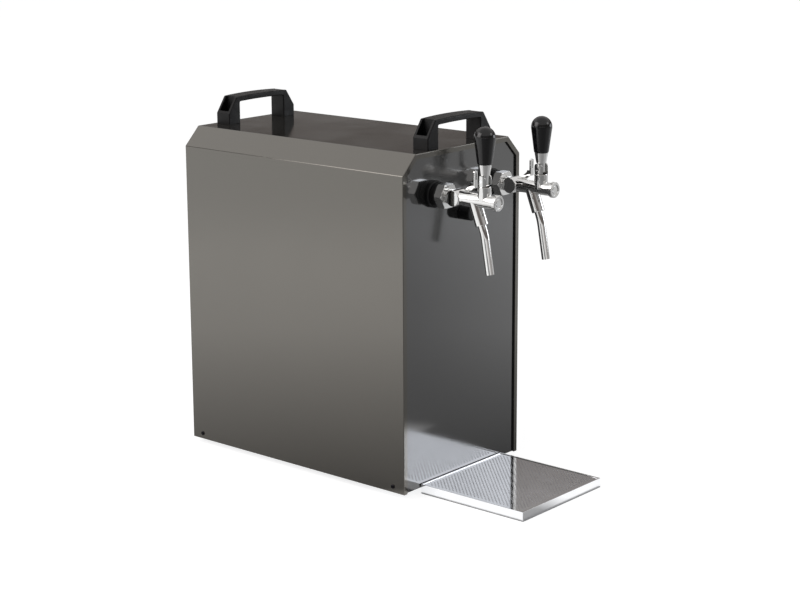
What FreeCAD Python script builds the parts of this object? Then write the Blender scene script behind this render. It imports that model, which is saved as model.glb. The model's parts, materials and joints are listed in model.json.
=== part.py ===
import FreeCAD
import Part
import math
import os

# Two-tap over-counter beer cooler with a dry cooling block, as an assembly of separate pieces.
# Millimetres, +Z up, the front with the taps faces -Y. The origin is on the table, under the
# middle of the cabinet.

V = FreeCAD.Vector
X = V(1, 0, 0)
Y = V(0, 1, 0)
Z = V(0, 0, 1)

# Clearances
FIT_GAP = 0.3            # between neighbouring pieces that are assembled loose
SEAT_GAP = 0.1           # round screws and pins in their holes
RUN_GAP = 0.06           # radial, a hub turning on its shaft
SWING_GAP = 0.5          # beside pieces that swing or slide

# Cabinet
CABINET_WIDTH = 240.0
CABINET_DEPTH = 390.0
CABINET_HEIGHT = 440.0
GROUND_GAP = 7.0         # table to the cover's lower edge
BEVEL = 25.0             # the 45 degree bevel along both top edges
COVER_SHEET = 1.2
COVER_BEND = 2.0         # outer radius of the cover's folds
LIP_WIDTH = 7.0          # the frame folded round the front and rear openings
PANEL_RECESS = 2.5
PANEL_SHEET = 1.5
PANEL_SIDE_GAP = 0.5
PANEL_RETURN = 20.0      # flange folded back along the panel's edges
PANEL_LIFT = 0.6         # cover's lower edge to the panel's lower edge
PAN_SHEET = 1.5
PAN_LIFT = 1.0
PAN_FLANGE = 22.0

# Cabinet screws and feet
SCREW_RADIUS = 1.75
SCREW_HEAD_RADIUS = 2.8
SCREW_HEAD_HEIGHT = 1.6
SCREW_HEAD_RIM = 1.0
SCREW_HEAD_FLAT = 1.7    # radius of the head's flat top
SCREW_LENGTH = 5.0
SCREW_HEIGHT = 8.0       # above the cover's lower edge
SCREW_SETBACK = 19.0     # from the cover's front and rear edges
FOOT_RADIUS = 11.0
FOOT_SETBACK_X = 40.0
FOOT_SETBACK_Y = 45.0
FOOT_EDGE = 1.5
FOOT_STUD_RADIUS = 3.0
FOOT_STUD_PROUD = 3.0    # above the pan

# Handles
HANDLE_DEPTH = 25.0
HANDLE_SETBACK = 18.0    # handle's middle from the cover's edge
GAP_REACH = 43.0         # half width of the finger gap
GAP_HEIGHT = 30.2        # of the finger gap, at its ends
GAP_RISE = 0.8           # more in its middle
BRIDGE_THICK = 7.6       # over the gap's middle
CROWN_RISE = 1.5         # of the handle's top in its middle
TOP_OVERHANG = 6.5       # handle's top past the gap
LEG_WIDTH = 21.5         # at the foot
HANDLE_SHOULDER = 15.0
HANDLE_CROWN_CORNER = 3.0
HANDLE_GAP_CORNER = 2.0
HANDLE_SHOULDER_CORNER = 2.5
HANDLE_ROUNDING = 1.5
POCKET_INNER_WALL = 4.0
POCKET_OUTER_WALL = 2.2
POCKET_WIDTH = 17.0
POCKET_FLOOR = 6.0
HANDLE_SCREW_RADIUS = 3.0
HANDLE_SCREW_HEAD = 4.8
HANDLE_SCREW_HEAD_HEIGHT = 4.0
HANDLE_SCREW_LENGTH = 16.0
HANDLE_SOCKET_FLATS = 4.8
HANDLE_SOCKET_FLOOR = 1.5

# Taps
TAP_SPACING = 117.5
TAP_DROP = 55.3          # tap axes below the cover's top
SHANK_RADIUS = 11.2
SHANK_BORE = 5.0
SHANK_INSIDE = 37.5      # shank's inner end, behind the panel
FLANGE_RADIUS = 17.5
FLANGE_THICK = 7.0
FLANGE_EDGE = 1.5
FLANGE_NECK_RADIUS = 14.5
FLANGE_NECK = 1.5
COLLAR_RADIUS = 15.8
COLLAR_EDGE = 1.0
COLLAR_LENGTH = 6.5
NUT_FLATS = 30.0
NUT_HOLD = 6.0           # shank's thread in the coupling nut
NUT_LIP = 2.8
NUT_CHAMFER = 1.2
BACK_NUT_FLATS = 32.0
BACK_NUT_LENGTH = 6.0
TAIL_RADIUS = 10.6       # the tap's flange inside the coupling nut
TAIL_LENGTH = 2.8
NECK_RADIUS = 9.3
HUB_RADIUS = 10.5
HUB_REACH = 10.0         # half length of the cross hub
HUB_GAP = 1.3            # coupling nut to the hub
BARREL_RADIUS = 8.5
TAPER_BACK = 5.2         # the neck's taper, from behind the hub's axis
TAPER_MIDDLE = 6.3       # to in front of it
TAPER_FRONT = 14.7
TAPER_RADIUS = 9.0
RING_RADIUS = 10.15
RING_LENGTH = 5.0
RING_COVE = 1.6          # cone behind the ring
BARREL_FRONT = 22.8      # the ring's front face in front of the lever's axis
RING_RECESS_RADIUS = 7.0
RING_RECESS = 1.4
PLUG_RADIUS = 4.6
PLUG_HEIGHT = 0.9
TAP_EDGE = 0.8           # broken edges of the chromed parts
BARREL_BORE = 5.0
BORE_END_WALL = 8.0

# Clevis collar and lever
LEVER_SPACING = 44.0     # lever's axis in front of the hub's
CLEVIS_RADIUS = 8.7
CLEVIS_TOP = 32.8        # above the tap axis
CLEVIS_GROOVE_HEIGHT = 18.5
CLEVIS_GROOVE = 0.7
EAR_WALL = 1.0           # ears' rounding past the tongue's
TONGUE_GAP = 0.4         # each side of the tongue
PIN_RADIUS = 2.0
PIN_SUNK = 0.5           # pin's ends below the collar's surface
TONGUE_WIDTH = 10.2
TONGUE_RADIUS = 6.0
FERRULE_LOW_RADIUS = 6.5
FERRULE_HIGH_RADIUS = 8.8
FERRULE_LENGTH = 13.0
STUD_RADIUS = 4.0
STUD_LENGTH = 20.0
GRIP_LOW_RADIUS = 9.5
GRIP_BALL_RADIUS = 13.65
GRIP_LENGTH = 47.0
GRIP_EDGE = 1.0
PLUNGER_RADIUS = 3.7
PLUNGER_WAIST = 2.2
PLUNGER_LAND = 6.0
PLUNGER_LENGTH = 26.0
PLUNGER_FRONT_GAP = 3.0  # barrel bore's end to the plunger
CONE_LENGTH = 28.0
CONE_TIP_RADIUS = 1.5
CONE_REAR_GAP = 8.0      # tap's tail to the cone

# Compensator lever
PLATE = 2.5
PLATE_DISC_RADIUS = 7.5
PLATE_ARM_WIDTH = 6.5
TAB_OFFSET = 16.8        # the tab in front of the hub axis
TAB_FOOT = 12.0          # the tab's lower edge above the hub axis
TAB_HEIGHT = 33.7        # the tab's upper edge above the hub axis
TAB_WIDTH = 6.5
TAB_CORNER = 2.0
TAB_SLOT_WIDTH = 1.6
TAB_SLOT_LENGTH = 9.0
TAB_SLOT_DROP = 3.0      # below the tab's upper edge
SPINDLE_RADIUS = 3.0

# Spout
SPOUT_SETBACK = 15.6     # spout's axis meets the tap's behind the lever's axis
SPOUT_TILT = 21.0        # degrees from upright, upper part
SPOUT_TIP_TILT = 9.9
SPOUT_RADIUS = 5.3
SPOUT_BORE = 4.0
SPOUT_BEND = 80.0
SLEEVE_RADIUS = 8.4
SLEEVE_LENGTH = 33.5     # from the tap axis, along the spout
SPOUT_KNEE = 45.0        # from the tap axis, along the spout
SPOUT_TIP = 50.5         # from the knee, along the spout
SPOUT_START = 2.0        # from the tap axis, along the spout

# Thermostat
KNOB_DROP = 32.7         # below the tap axes
KNOB_RADIUS = 9.0
KNOB_LENGTH = 18.0
KNOB_EDGE = 1.0
KNOB_GAP = 0.6
GROOVE_WIDTH = 1.0       # pointer in the knob's face
GROOVE_DEPTH = 0.6
GROOVE_START = 2.7       # from the knob's axis
THERMOSTAT_SIDE = 38.0
THERMOSTAT_DEPTH = 30.0
THERMOSTAT_SHAFT = 3.0
BULB_RADIUS = 3.0
BULB_OFFSET = 14.0
BULB_LENGTH = 60.0
BULB_TUBE_RADIUS = 1.2
HOUSING_CORNER = 2.0     # corners of the thermostat and the relay

# Drip tray
TRAY_WIDTH = 169.0
TRAY_DEPTH = 165.0
TRAY_HEIGHT = 12.8
TRAY_SHEET = 1.0
TRAY_CORNER = 0.8
TRAY_WALL = 2.2          # the wall is folded double
TRAY_LEDGE = 2.5
TRAY_GAP = 1.2           # between the tray and the front panel
GRILLE_SHEET = 1.0
GRILLE_DROP = 0.8        # below the tray's rim
HOLE_RADIUS = 1.5
HOLE_PITCH = 5.5
HOLE_MARGIN = 5.0

# Insulation and cooling block
CASE_WALL = 22.0
CASE_GAP = 9.5           # front panel to the case
CASE_RISE = 30.0         # above the rear beer lines
LID_PLATE = 8.0
LID_DEPTH = 26.8         # of the lid and its plug
BLOCK_SIDE = 6.25        # metal outside the beer lines
BLOCK_SIDE_GAP = 2.0     # to the case
BLOCK_DEPTH = 124.0
BLOCK_COVER = 4.0        # metal over the highest beer line and under the lowest bend
BLOCK_CORNER = 4.0
BLOCK_GAP = 6.0          # front of the cavity to the block
POCKET_CLEAR = 3.0       # round the thermostat in the case

# Beer lines and refrigerant lines
BEER_RADIUS = 4.75
BEER_BORE = 3.75
BEER_RUNS = 5
BEER_BEND = 13.0
BEER_INSET = 7.0         # bends inside the block's faces
BEER_LINE_GAP = 23.0     # rear beer lines' middle above the compressor
GAS_RADIUS = 4.0
GAS_BORE = 3.2
GAS_BEND = 12.0
LINE_BEND = 10.5         # bends whose ends meet another tube
GAS_PITCH = 30.0
CAPILLARY_RADIUS = 1.2
DRIER_RADIUS = 10.0
DRIER_LENGTH = 90.0
LINE_GAP = 3.2           # beside the lines and the drier
SUCTION_RUN = 30.0       # from under the evaporator's end to the can
GAS_RUNS = 4             # an even number, so both ends leave below
LINE_TAIL = 20.0         # of the lines below the case
DRIER_NECK_RADIUS = 4.8
DRIER_NECK = 8.0
DRIER_CONE = 6.0
DRIER_RISE = 98.0        # above the compressor's plate
DRIER_SETBACK = 15.0     # its rear end behind the compressor's axis
DISCHARGE_RISE = 63.0    # above the compressor's plate
DISCHARGE_DROP = 14.0    # below the condenser
SUCTION_RISE = 69.0      # above the compressor's plate

# Compressor
COMPRESSOR_RADIUS = 60.0
COMPRESSOR_HEIGHT = 126.0
COMPRESSOR_DOME = 22.0   # height of each rounded end
COMPRESSOR_KNEE = 7.7
COMPRESSOR_KNEE_RADIUS = 56.0
COMPRESSOR_FLAT_RADIUS = 42.0
COMPRESSOR_WALL = 3.0
PLATE_SIDE = 150.0
PLATE_SHEET = 3.0
PLATE_CORNER = 12.0
GROMMET_RADIUS = 9.0
GROMMET_HEIGHT = 8.5
GROMMET_SPACING = 120.0
BOLT_RADIUS = 3.0
BOLT_NUT = 5.0
BOLT_NUT_RADIUS = 5.4
BOLT_PROUD = 2.0         # above its nut
MOTOR_RADIUS = 42.0
PUMP_RADIUS = 37.8
MOTOR_HEADROOM = 12.0
RELAY_SIZE = 34.0
RELAY_REACH = 26.0
RELAY_WRAP = 6.0         # round the can's side
RELAY_RISE = 44.0        # above the plate

# Condenser and fan
CONDENSER_DEPTH = 40.0
CONDENSER_MARGIN = 16.0  # fins past the first and last tube
CONDENSER_GAP = 5.0      # rear panel to the fins
CONDENSER_RISE = 21.0    # above the rear beer lines
FIN_PITCH = 7.5
FIN_SHEET = 0.6
FIN_RAIL = 2.0
CONDENSER_RUNS = 7
CONDENSER_PITCH = 28.0
HAIRPIN = 14.0
SHROUD_SHEET = 2.0
SHROUD_RING = 24.0
FAN_TIP_GAP = 3.0
FAN_HUB_RADIUS = 20.0
FAN_DEPTH = 16.0
FAN_BLADES = 5
FAN_PITCH = 28.0         # degrees, blade to the plane of the fan
BLADE_SHEET = 1.6
BLADE_CHORD = 34.0
FAN_SHAFT_RADIUS = 3.0
FAN_MOTOR_RADIUS = 28.0
FAN_MOTOR_LENGTH = 30.0
FAN_MOTOR_EDGE = 3.0
FAN_MOTOR_GAP = 2.0
FAN_ARM = 8.0
FAN_ARM_TURNS = (90, 210, 330)
FAN_BAND = 4.0           # band round the motor
FAN_HUB_FLOOR = 1.5      # closed end of the hub's bore
BLADE_ROOT = 2.0         # of the blades inside the hub

# Rear fittings
STEM_RADIUS = 4.75
STEM_LENGTH = 30.0
FITTING_RADIUS = 9.0
FITTING_THICK = 8.0
FITTING_EDGE = 1.0
FITTING_BORE = 3.25
MODULE_X = 55.0
MODULE_HEIGHT = 60.0     # inlet module's middle, above the cover's lower edge
MODULE_WIDTH = 34.0
MODULE_TALL = 60.0
MODULE_FLANGE = 3.0
MODULE_BODY_MARGIN = 2.5
MODULE_CORNER = 3.0
MODULE_DEPTH = 30.0
SOCKET_WIDTH = 25.0
SOCKET_TALL = 17.0
SOCKET_DEPTH = 18.0
SOCKET_DROP = 13.0       # socket below the module's middle
CONTACT_WIDTH = 2.0
CONTACT_TALL = 4.0
CONTACT_LENGTH = 12.0
CONTACT_PITCH = 7.0
CONTACT_STAGGER = 2.0    # middle one up, outer ones down
ROCKER_WIDTH = 19.0
ROCKER_TALL = 21.0
ROCKER_RISE = 15.0       # rocker above the module's middle
ROCKER_DEPTH = 10.0
ROCKER_ROOM = 3.0        # well below the rocker
ROCKER_TIP = 4.2         # both ends in front of the pivot
ROCKER_SAG = 2.6         # its middle in front of the pivot
ROCKER_SKIRT = 1.0       # its sides behind the pivot
ROCKER_HEEL = 4.0
ROCKER_PIVOT = 3.0       # pivot behind the module's outer face
TRUNNION_RADIUS = 1.2
TRUNNION_LENGTH = 2.0
ROCKER_TILT = 8.0        # degrees, half of its travel
VENT_WIDTH = 62.0
VENT_TALL = 5.0
VENT_PITCH = 12.0
VENT_ROWS = 14
VENT_COLUMN = 40.0       # x of the columns' middles
INTAKE_WIDTH = 60.0
INTAKE_TALL = 6.0
INTAKE_PITCH = 14.0
INTAKE_ROWS = 5

# Inner frame
FRAME_SHEET = 1.5

# Levels and planes worked out from the sizes above
COVER_LOW = GROUND_GAP
COVER_TOP = GROUND_GAP + CABINET_HEIGHT
FRONT = -CABINET_DEPTH / 2
REAR = CABINET_DEPTH / 2
PANEL_FRONT = FRONT + PANEL_RECESS
PANEL_BACK = PANEL_FRONT + PANEL_SHEET
REAR_PANEL_OUT = REAR - PANEL_RECESS
REAR_PANEL_IN = REAR_PANEL_OUT - PANEL_SHEET
PANEL_INSET = COVER_SHEET + PANEL_SIDE_GAP
PAN_HALF = CABINET_WIDTH / 2 - PANEL_INSET - PANEL_SHEET - FIT_GAP
PAN_BOTTOM = COVER_LOW + PAN_LIFT
PAN_TOP = PAN_BOTTOM + PAN_SHEET
FRAME_OUTER = PAN_HALF - PAN_SHEET - FIT_GAP
FRAME_INNER = FRAME_OUTER - FRAME_SHEET
HANDLE_REACH = GAP_REACH + LEG_WIDTH
HANDLE_TOP_REACH = GAP_REACH + TOP_OVERHANG
GAP_CROWN = GAP_HEIGHT + GAP_RISE
HANDLE_HEIGHT = GAP_CROWN + BRIDGE_THICK
HANDLE_CORNER = HANDLE_HEIGHT - CROWN_RISE
POCKET_INNER = GAP_REACH + POCKET_INNER_WALL
POCKET_OUTER = HANDLE_REACH - POCKET_OUTER_WALL

# Along the tap, as distances in front of the panel
COLLAR_FRONT = FLANGE_THICK + FLANGE_NECK + COLLAR_LENGTH
SHANK_FRONT = COLLAR_FRONT + NUT_HOLD
TAIL_START = SHANK_FRONT + FIT_GAP
TAIL_FRONT = TAIL_START + TAIL_LENGTH
NUT_START = COLLAR_FRONT + FIT_GAP
NUT_END = TAIL_FRONT + FIT_GAP + NUT_LIP
HUB_OFFSET = NUT_END + HUB_GAP + HUB_RADIUS
LEVER_OFFSET = HUB_OFFSET + LEVER_SPACING
SPOUT_ROOT = LEVER_OFFSET - SPOUT_SETBACK
TAP_LENGTH = LEVER_OFFSET + BARREL_FRONT

TAP_Z = COVER_TOP - TAP_DROP
TAP_X = TAP_SPACING / 2
HUB_Y = PANEL_FRONT - HUB_OFFSET
LEVER_Y = PANEL_FRONT - LEVER_OFFSET
EAR_RADIUS = TONGUE_RADIUS + EAR_WALL
SLOT_WIDTH = TONGUE_WIDTH + 2 * TONGUE_GAP
PIN_LENGTH = 2 * (CLEVIS_RADIUS - PIN_SUNK)
CLEVIS_Z = TAP_Z + CLEVIS_TOP
PIVOT_Z = CLEVIS_Z - EAR_RADIUS
FERRULE_Z = CLEVIS_Z + SWING_GAP
GRIP_Z = FERRULE_Z + FERRULE_LENGTH
KNOB_Z = TAP_Z - KNOB_DROP
SHAFT_FRONT = PANEL_FRONT - KNOB_LENGTH / 2

# Upwards from the pan: the compressor, the rear beer lines, then the case and the condenser
PLATE_LOW = PAN_TOP + GROMMET_HEIGHT
PLATE_TOP = PLATE_LOW + PLATE_SHEET
COMPRESSOR_TOP = PLATE_TOP + COMPRESSOR_HEIGHT
BEER_LINE_Z = COMPRESSOR_TOP + BEER_LINE_GAP
CASE_LOW = BEER_LINE_Z + CASE_RISE
BLOCK_LOW = CASE_LOW + CASE_WALL
BLOCK_TOP = TAP_Z + BEER_RADIUS + BLOCK_COVER
LOWEST_RUN = BLOCK_LOW + BLOCK_COVER + BEER_BEND
BEER_RUN_PITCH = (TAP_Z - LOWEST_RUN) / (BEER_RUNS - 1)
LID_LOW = TAP_Z + SHANK_RADIUS + FIT_GAP
CASE_TOP = LID_LOW + LID_DEPTH
WALL_TOP = CASE_TOP - LID_PLATE

# Backwards from the front panel: the case, the block in it and the compressor under it
CASE_FRONT = PANEL_BACK + CASE_GAP
BLOCK_FRONT = CASE_FRONT + CASE_WALL + BLOCK_GAP
BLOCK_BACK = BLOCK_FRONT + BLOCK_DEPTH
CASE_BACK = BLOCK_BACK + BLOCK_GAP + CASE_WALL
BLOCK_HALF = TAP_X + BEER_RADIUS + BLOCK_SIDE
CASE_HALF = BLOCK_HALF + BLOCK_SIDE_GAP + CASE_WALL
EVAPORATOR_END = BLOCK_FRONT + (GAS_RUNS - 0.5) * GAS_PITCH
COMPRESSOR_Y = EVAPORATOR_END + SUCTION_RUN + COMPRESSOR_RADIUS

# The condenser and its fan, in front of the rear panel, and the lines beside them
LINE_SIDE = FRAME_INNER - LINE_GAP - DRIER_RADIUS
DRIER_Z = PLATE_TOP + DRIER_RISE
DRIER_BACK = COMPRESSOR_Y + DRIER_SETBACK
CONDENSER_WIDTH = 2 * (LINE_SIDE - 2 * GAS_RADIUS - LINE_GAP - HAIRPIN)
CONDENSER_HEIGHT = (CONDENSER_RUNS - 1) * CONDENSER_PITCH + 2 * CONDENSER_MARGIN
CONDENSER_BACK = REAR_PANEL_IN - CONDENSER_GAP
CONDENSER_FRONT = CONDENSER_BACK - CONDENSER_DEPTH
CONDENSER_Y = (CONDENSER_BACK + CONDENSER_FRONT) / 2
CONDENSER_LOW = BEER_LINE_Z + CONDENSER_RISE
CONDENSER_TOP = CONDENSER_LOW + CONDENSER_HEIGHT
FAN_RADIUS = CONDENSER_WIDTH / 2 - FAN_TIP_GAP - SHROUD_SHEET
FAN_Z = (CONDENSER_LOW + CONDENSER_TOP) / 2
SHROUD_BACK = CONDENSER_FRONT - FIT_GAP
SHROUD_FRONT = SHROUD_BACK - SHROUD_SHEET
FAN_BACK = SHROUD_FRONT - SWING_GAP
FAN_FRONT = FAN_BACK - FAN_DEPTH
FAN_MOTOR_BACK = FAN_FRONT - FAN_MOTOR_GAP
FAN_MOTOR_FRONT = FAN_MOTOR_BACK - FAN_MOTOR_LENGTH

MODULE_Z = COVER_LOW + MODULE_HEIGHT
TRAY_BACK = PANEL_FRONT - TRAY_GAP
TRAY_FRONT = TRAY_BACK - TRAY_DEPTH
GRILLE_TOP = TRAY_HEIGHT - GRILLE_DROP
GRILLE_LOW = GRILLE_TOP - GRILLE_SHEET
SIDES = {"left": -1, "right": 1}


# ---------------------------------------------------------------- shapes used by many pieces
def block(x0, x1, y0, y1, z0, z1):
    """Box between two corners."""
    return Part.makeBox(x1 - x0, y1 - y0, z1 - z0, V(x0, y0, z0))


def rod(start, end, radius):
    """Round bar between two points."""
    return Part.makeCylinder(radius, (end - start).Length, start, end - start)


def pipe(start, end, radius, bore):
    """Straight round tube between two points."""
    return rod(start, end, radius).cut(rod(start, end, bore))


def prism(points, travel):
    """Straight extrusion of a flat outline."""
    outline = Part.makePolygon(points + [points[0]])
    return Part.Face(outline).extrude(travel)


def turned(profile, start, axis):
    """Body of revolution. The profile is (distance along the axis, radius) pairs."""
    side = X if abs(axis.dot(X)) < 0.5 else Y
    points = [start + axis * along + side * radius for along, radius in profile]
    return Part.Face(Part.makePolygon(points + [points[0]])).revolve(start, axis, 360)


def hexagon(centre, axis, flats, length):
    """Hexagonal bar along Y, with flats at the top and the bottom."""
    corner = flats / math.sqrt(3)
    turns = [math.radians(60 * i) for i in range(6)]
    points = [centre + V(corner * math.cos(a), 0, corner * math.sin(a)) for a in turns]
    return prism(points, axis * length)


def bent_path(points, bend):
    """Wire of straight runs joined by tangent bends of one radius."""
    edges = []
    start = points[0]
    for before, corner, after in zip(points, points[1:], points[2:]):
        inward = (before - corner).normalize()
        outward = (after - corner).normalize()
        half = inward.getAngle(outward) / 2
        reach = bend / math.tan(half)
        middle = corner + (inward + outward).normalize() * (bend / math.sin(half) - bend)
        first = corner + inward * reach
        last = corner + outward * reach
        edges.append(Part.makeLine(start, first))
        edges.append(Part.Arc(first, middle, last).toShape())
        start = last
    edges.append(Part.makeLine(start, points[-1]))
    return Part.Wire(edges)


def bent_bar(points, bend, radius):
    """Round bar along a bent path."""
    ring = Part.Wire(Part.makeCircle(radius, points[0], points[1] - points[0]))
    return bent_path(points, bend).makePipeShell([ring], True, False)


def bent_tube(points, bend, radius, bore):
    """Round tube along a bent path."""
    return bent_bar(points, bend, radius).cut(bent_bar(points, bend, bore))


def joined(shapes):
    """One solid from shapes that touch or overlap."""
    return shapes[0].multiFuse(shapes[1:]).removeSplitter()


def rounded(shape, radius, wanted):
    """Fillet on the edges that the test picks."""
    return shape.makeFillet(radius, [e for e in shape.Edges if wanted(e)])


def runs_along(edge, direction):
    """True for a straight edge along a direction."""
    if edge.Curve.TypeId != "Part::GeomLine":
        return False
    return abs(abs(edge.tangentAt(edge.FirstParameter).dot(direction)) - 1) < 1e-6


def save(name, shapes):
    """Write one node; a group of like pieces stays separate solids."""
    whole = Part.makeCompound(shapes) if isinstance(shapes, list) else shapes
    whole.exportStep("parts/" + name + ".step")


# ---------------------------------------------------------------- cabinet
def cabinet_outline(inset, low, y):
    """Outline of the cabinet's section, moved inwards by the inset."""
    half = CABINET_WIDTH / 2 - inset
    top = COVER_TOP - inset
    bevel = BEVEL - inset * (2 - math.sqrt(2))
    right = [V(half, y, low), V(half, y, top - bevel), V(half - bevel, y, top)]
    left = [V(-p.x, y, p.z) for p in reversed(right)]
    return right + left


def cabinet_band(outer, inner, y0, y1, low=COVER_LOW):
    """Band between two insets, open below, from y0 to y1."""
    travel = Y * (y1 - y0)
    outside = prism(cabinet_outline(outer, low, y0), travel)
    return outside.cut(prism(cabinet_outline(inner, low - 1, y0), travel))


def screw_places():
    """Middles of the four side screws, as side, y."""
    reach = CABINET_DEPTH / 2 - SCREW_SETBACK
    return [(side, y) for side in (-1, 1) for y in (-reach, reach)]


def side_screw_holes():
    """Drills for the side screws through the cover and what is behind it."""
    z = COVER_LOW + SCREW_HEIGHT
    outer = CABINET_WIDTH / 2 + 1
    inner = CABINET_WIDTH / 2 - 3 * SCREW_LENGTH
    radius = SCREW_RADIUS + SEAT_GAP
    drills = []
    for side, y in screw_places():
        drills.append(rod(V(side * outer, y, z), V(side * inner, y, z), radius))
    return drills


def handle_screw_places():
    """Middles of the four handle screws, as x, y."""
    x = (POCKET_INNER + POCKET_OUTER) / 2
    y = CABINET_DEPTH / 2 - HANDLE_SETBACK
    return [(side * x, end * y) for side in (-1, 1) for end in (-1, 1)]


def handle_screw_holes():
    """Drills for the handle screws through the handles, the cover and the panels."""
    low = COVER_TOP - HANDLE_SCREW_LENGTH
    high = COVER_TOP + POCKET_FLOOR + 1
    radius = HANDLE_SCREW_RADIUS + SEAT_GAP
    return [rod(V(x, y, low), V(x, y, high), radius) for x, y in handle_screw_places()]


def cover_shell():
    """Folded sheet over both sides and the top, with a framed opening at each end."""
    walls = cabinet_band(0, COVER_SHEET, FRONT, REAR)
    ends = []
    for edge, inwards in ((FRONT, 1), (REAR, -1)):
        lip = sorted((edge, edge + inwards * COVER_SHEET))
        fold = sorted((edge, edge + inwards * PANEL_RECESS))
        ends.append(cabinet_band(0, LIP_WIDTH, lip[0], lip[1]))
        ends.append(cabinet_band(LIP_WIDTH - COVER_SHEET, LIP_WIDTH, fold[0], fold[1]))
    shell = joined([walls] + ends)
    corners = cabinet_outline(0, COVER_LOW, FRONT)[1:-1]

    def is_fold(edge):
        """True for an outer edge along the cabinet's length."""
        middle = edge.CenterOfMass
        at_corner = any(math.hypot(middle.x - c.x, middle.z - c.z) < 0.01 for c in corners)
        return runs_along(edge, Y) and at_corner

    shell = rounded(shell, COVER_BEND, is_fold)
    return shell.cut(side_screw_holes() + handle_screw_holes())


def panel(outside, inside, inwards):
    """Flat end panel with flanges folded back into the cabinet."""
    low = COVER_LOW + PANEL_LIFT
    face = prism(cabinet_outline(PANEL_INSET, low, outside), Y * (inside - outside))
    span = sorted((inside, inside + inwards * PANEL_RETURN))
    flange = cabinet_band(PANEL_INSET, PANEL_INSET + PANEL_SHEET, span[0], span[1], low)
    return joined([face, flange]).cut(side_screw_holes() + handle_screw_holes())


def front_panel():
    """Panel that carries the taps and the thermostat."""
    holes = [rod(V(0, FRONT, KNOB_Z), V(0, PANEL_BACK + 1, KNOB_Z), THERMOSTAT_SHAFT + 2 * SWING_GAP)]
    for side in SIDES.values():
        x = side * TAP_X
        holes.append(rod(V(x, FRONT, TAP_Z), V(x, PANEL_BACK + 1, TAP_Z), SHANK_RADIUS + FIT_GAP))
    return panel(PANEL_FRONT, PANEL_BACK, 1).cut(holes)


def rear_panel():
    """Panel with the condenser's vents, the power inlet and the beer inlets."""
    holes = []
    first = FAN_Z - (VENT_ROWS - 1) * VENT_PITCH / 2
    half = VENT_WIDTH / 2
    inside = REAR_PANEL_IN - 1
    for row in range(VENT_ROWS):
        low = first + row * VENT_PITCH - VENT_TALL / 2
        for column in (-VENT_COLUMN, VENT_COLUMN):
            holes.append(block(column - half, column + half, inside, REAR, low, low + VENT_TALL))
    for side in SIDES.values():
        x = side * TAP_X
        holes.append(rod(V(x, inside, BEER_LINE_Z), V(x, REAR, BEER_LINE_Z), STEM_RADIUS + FIT_GAP))
    wide = MODULE_WIDTH / 2 - MODULE_BODY_MARGIN + FIT_GAP
    tall = MODULE_TALL / 2 - MODULE_BODY_MARGIN + FIT_GAP
    holes.append(block(MODULE_X - wide, MODULE_X + wide, inside, REAR, MODULE_Z - tall, MODULE_Z + tall))
    return panel(REAR_PANEL_OUT, REAR_PANEL_IN, -1).cut(holes)


def foot_places():
    """Middles of the four feet."""
    x = CABINET_WIDTH / 2 - FOOT_SETBACK_X
    y = CABINET_DEPTH / 2 - FOOT_SETBACK_Y
    return [(i * x, j * y) for i in (-1, 1) for j in (-1, 1)]


def base_pan():
    """Folded pan that carries the compressor and the frame, with air intakes in its floor."""
    y0 = PANEL_BACK + FIT_GAP
    y1 = REAR_PANEL_IN - FIT_GAP
    outside = block(-PAN_HALF, PAN_HALF, y0, y1, PAN_BOTTOM, PAN_BOTTOM + PAN_FLANGE)
    inner = PAN_HALF - PAN_SHEET
    pan = outside.cut(block(-inner, inner, y0 + PAN_SHEET, y1 - PAN_SHEET, PAN_TOP, COVER_TOP))
    holes = side_screw_holes()
    for x, y in foot_places():
        holes.append(rod(V(x, y, 0), V(x, y, PAN_TOP + 1), FOOT_STUD_RADIUS + SEAT_GAP))
    for x, y in grommet_places():
        holes.append(rod(V(x, y, 0), V(x, y, PAN_TOP + 1), BOLT_RADIUS + SEAT_GAP))
    for row in range(INTAKE_ROWS):
        y = y0 + FOOT_SETBACK_Y + row * INTAKE_PITCH
        holes.append(block(-INTAKE_WIDTH / 2, INTAKE_WIDTH / 2, y, y + INTAKE_TALL, 0, PAN_TOP + 1))
    return pan.cut(holes)


def cabinet_screws():
    """Pan-head screws through the cover's sides."""
    half = CABINET_WIDTH / 2
    z = COVER_LOW + SCREW_HEIGHT
    profile = [(-SCREW_LENGTH, 0), (-SCREW_LENGTH, SCREW_RADIUS), (0, SCREW_RADIUS),
               (0, SCREW_HEAD_RADIUS), (SCREW_HEAD_RIM, SCREW_HEAD_RADIUS),
               (SCREW_HEAD_HEIGHT, SCREW_HEAD_FLAT), (SCREW_HEAD_HEIGHT, 0)]
    return [turned(profile, V(side * half, y, z), X * side) for side, y in screw_places()]


def rubber_feet():
    """Tapered feet, each with its stud through the pan."""
    stud_top = PAN_TOP + FOOT_STUD_PROUD
    profile = [(0, 0), (0, FOOT_RADIUS - FOOT_EDGE), (FOOT_EDGE, FOOT_RADIUS), (PAN_BOTTOM, FOOT_RADIUS),
               (PAN_BOTTOM, FOOT_STUD_RADIUS), (stud_top, FOOT_STUD_RADIUS), (stud_top, 0)]
    return [turned(profile, V(x, y, 0), Z) for x, y in foot_places()]


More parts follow.
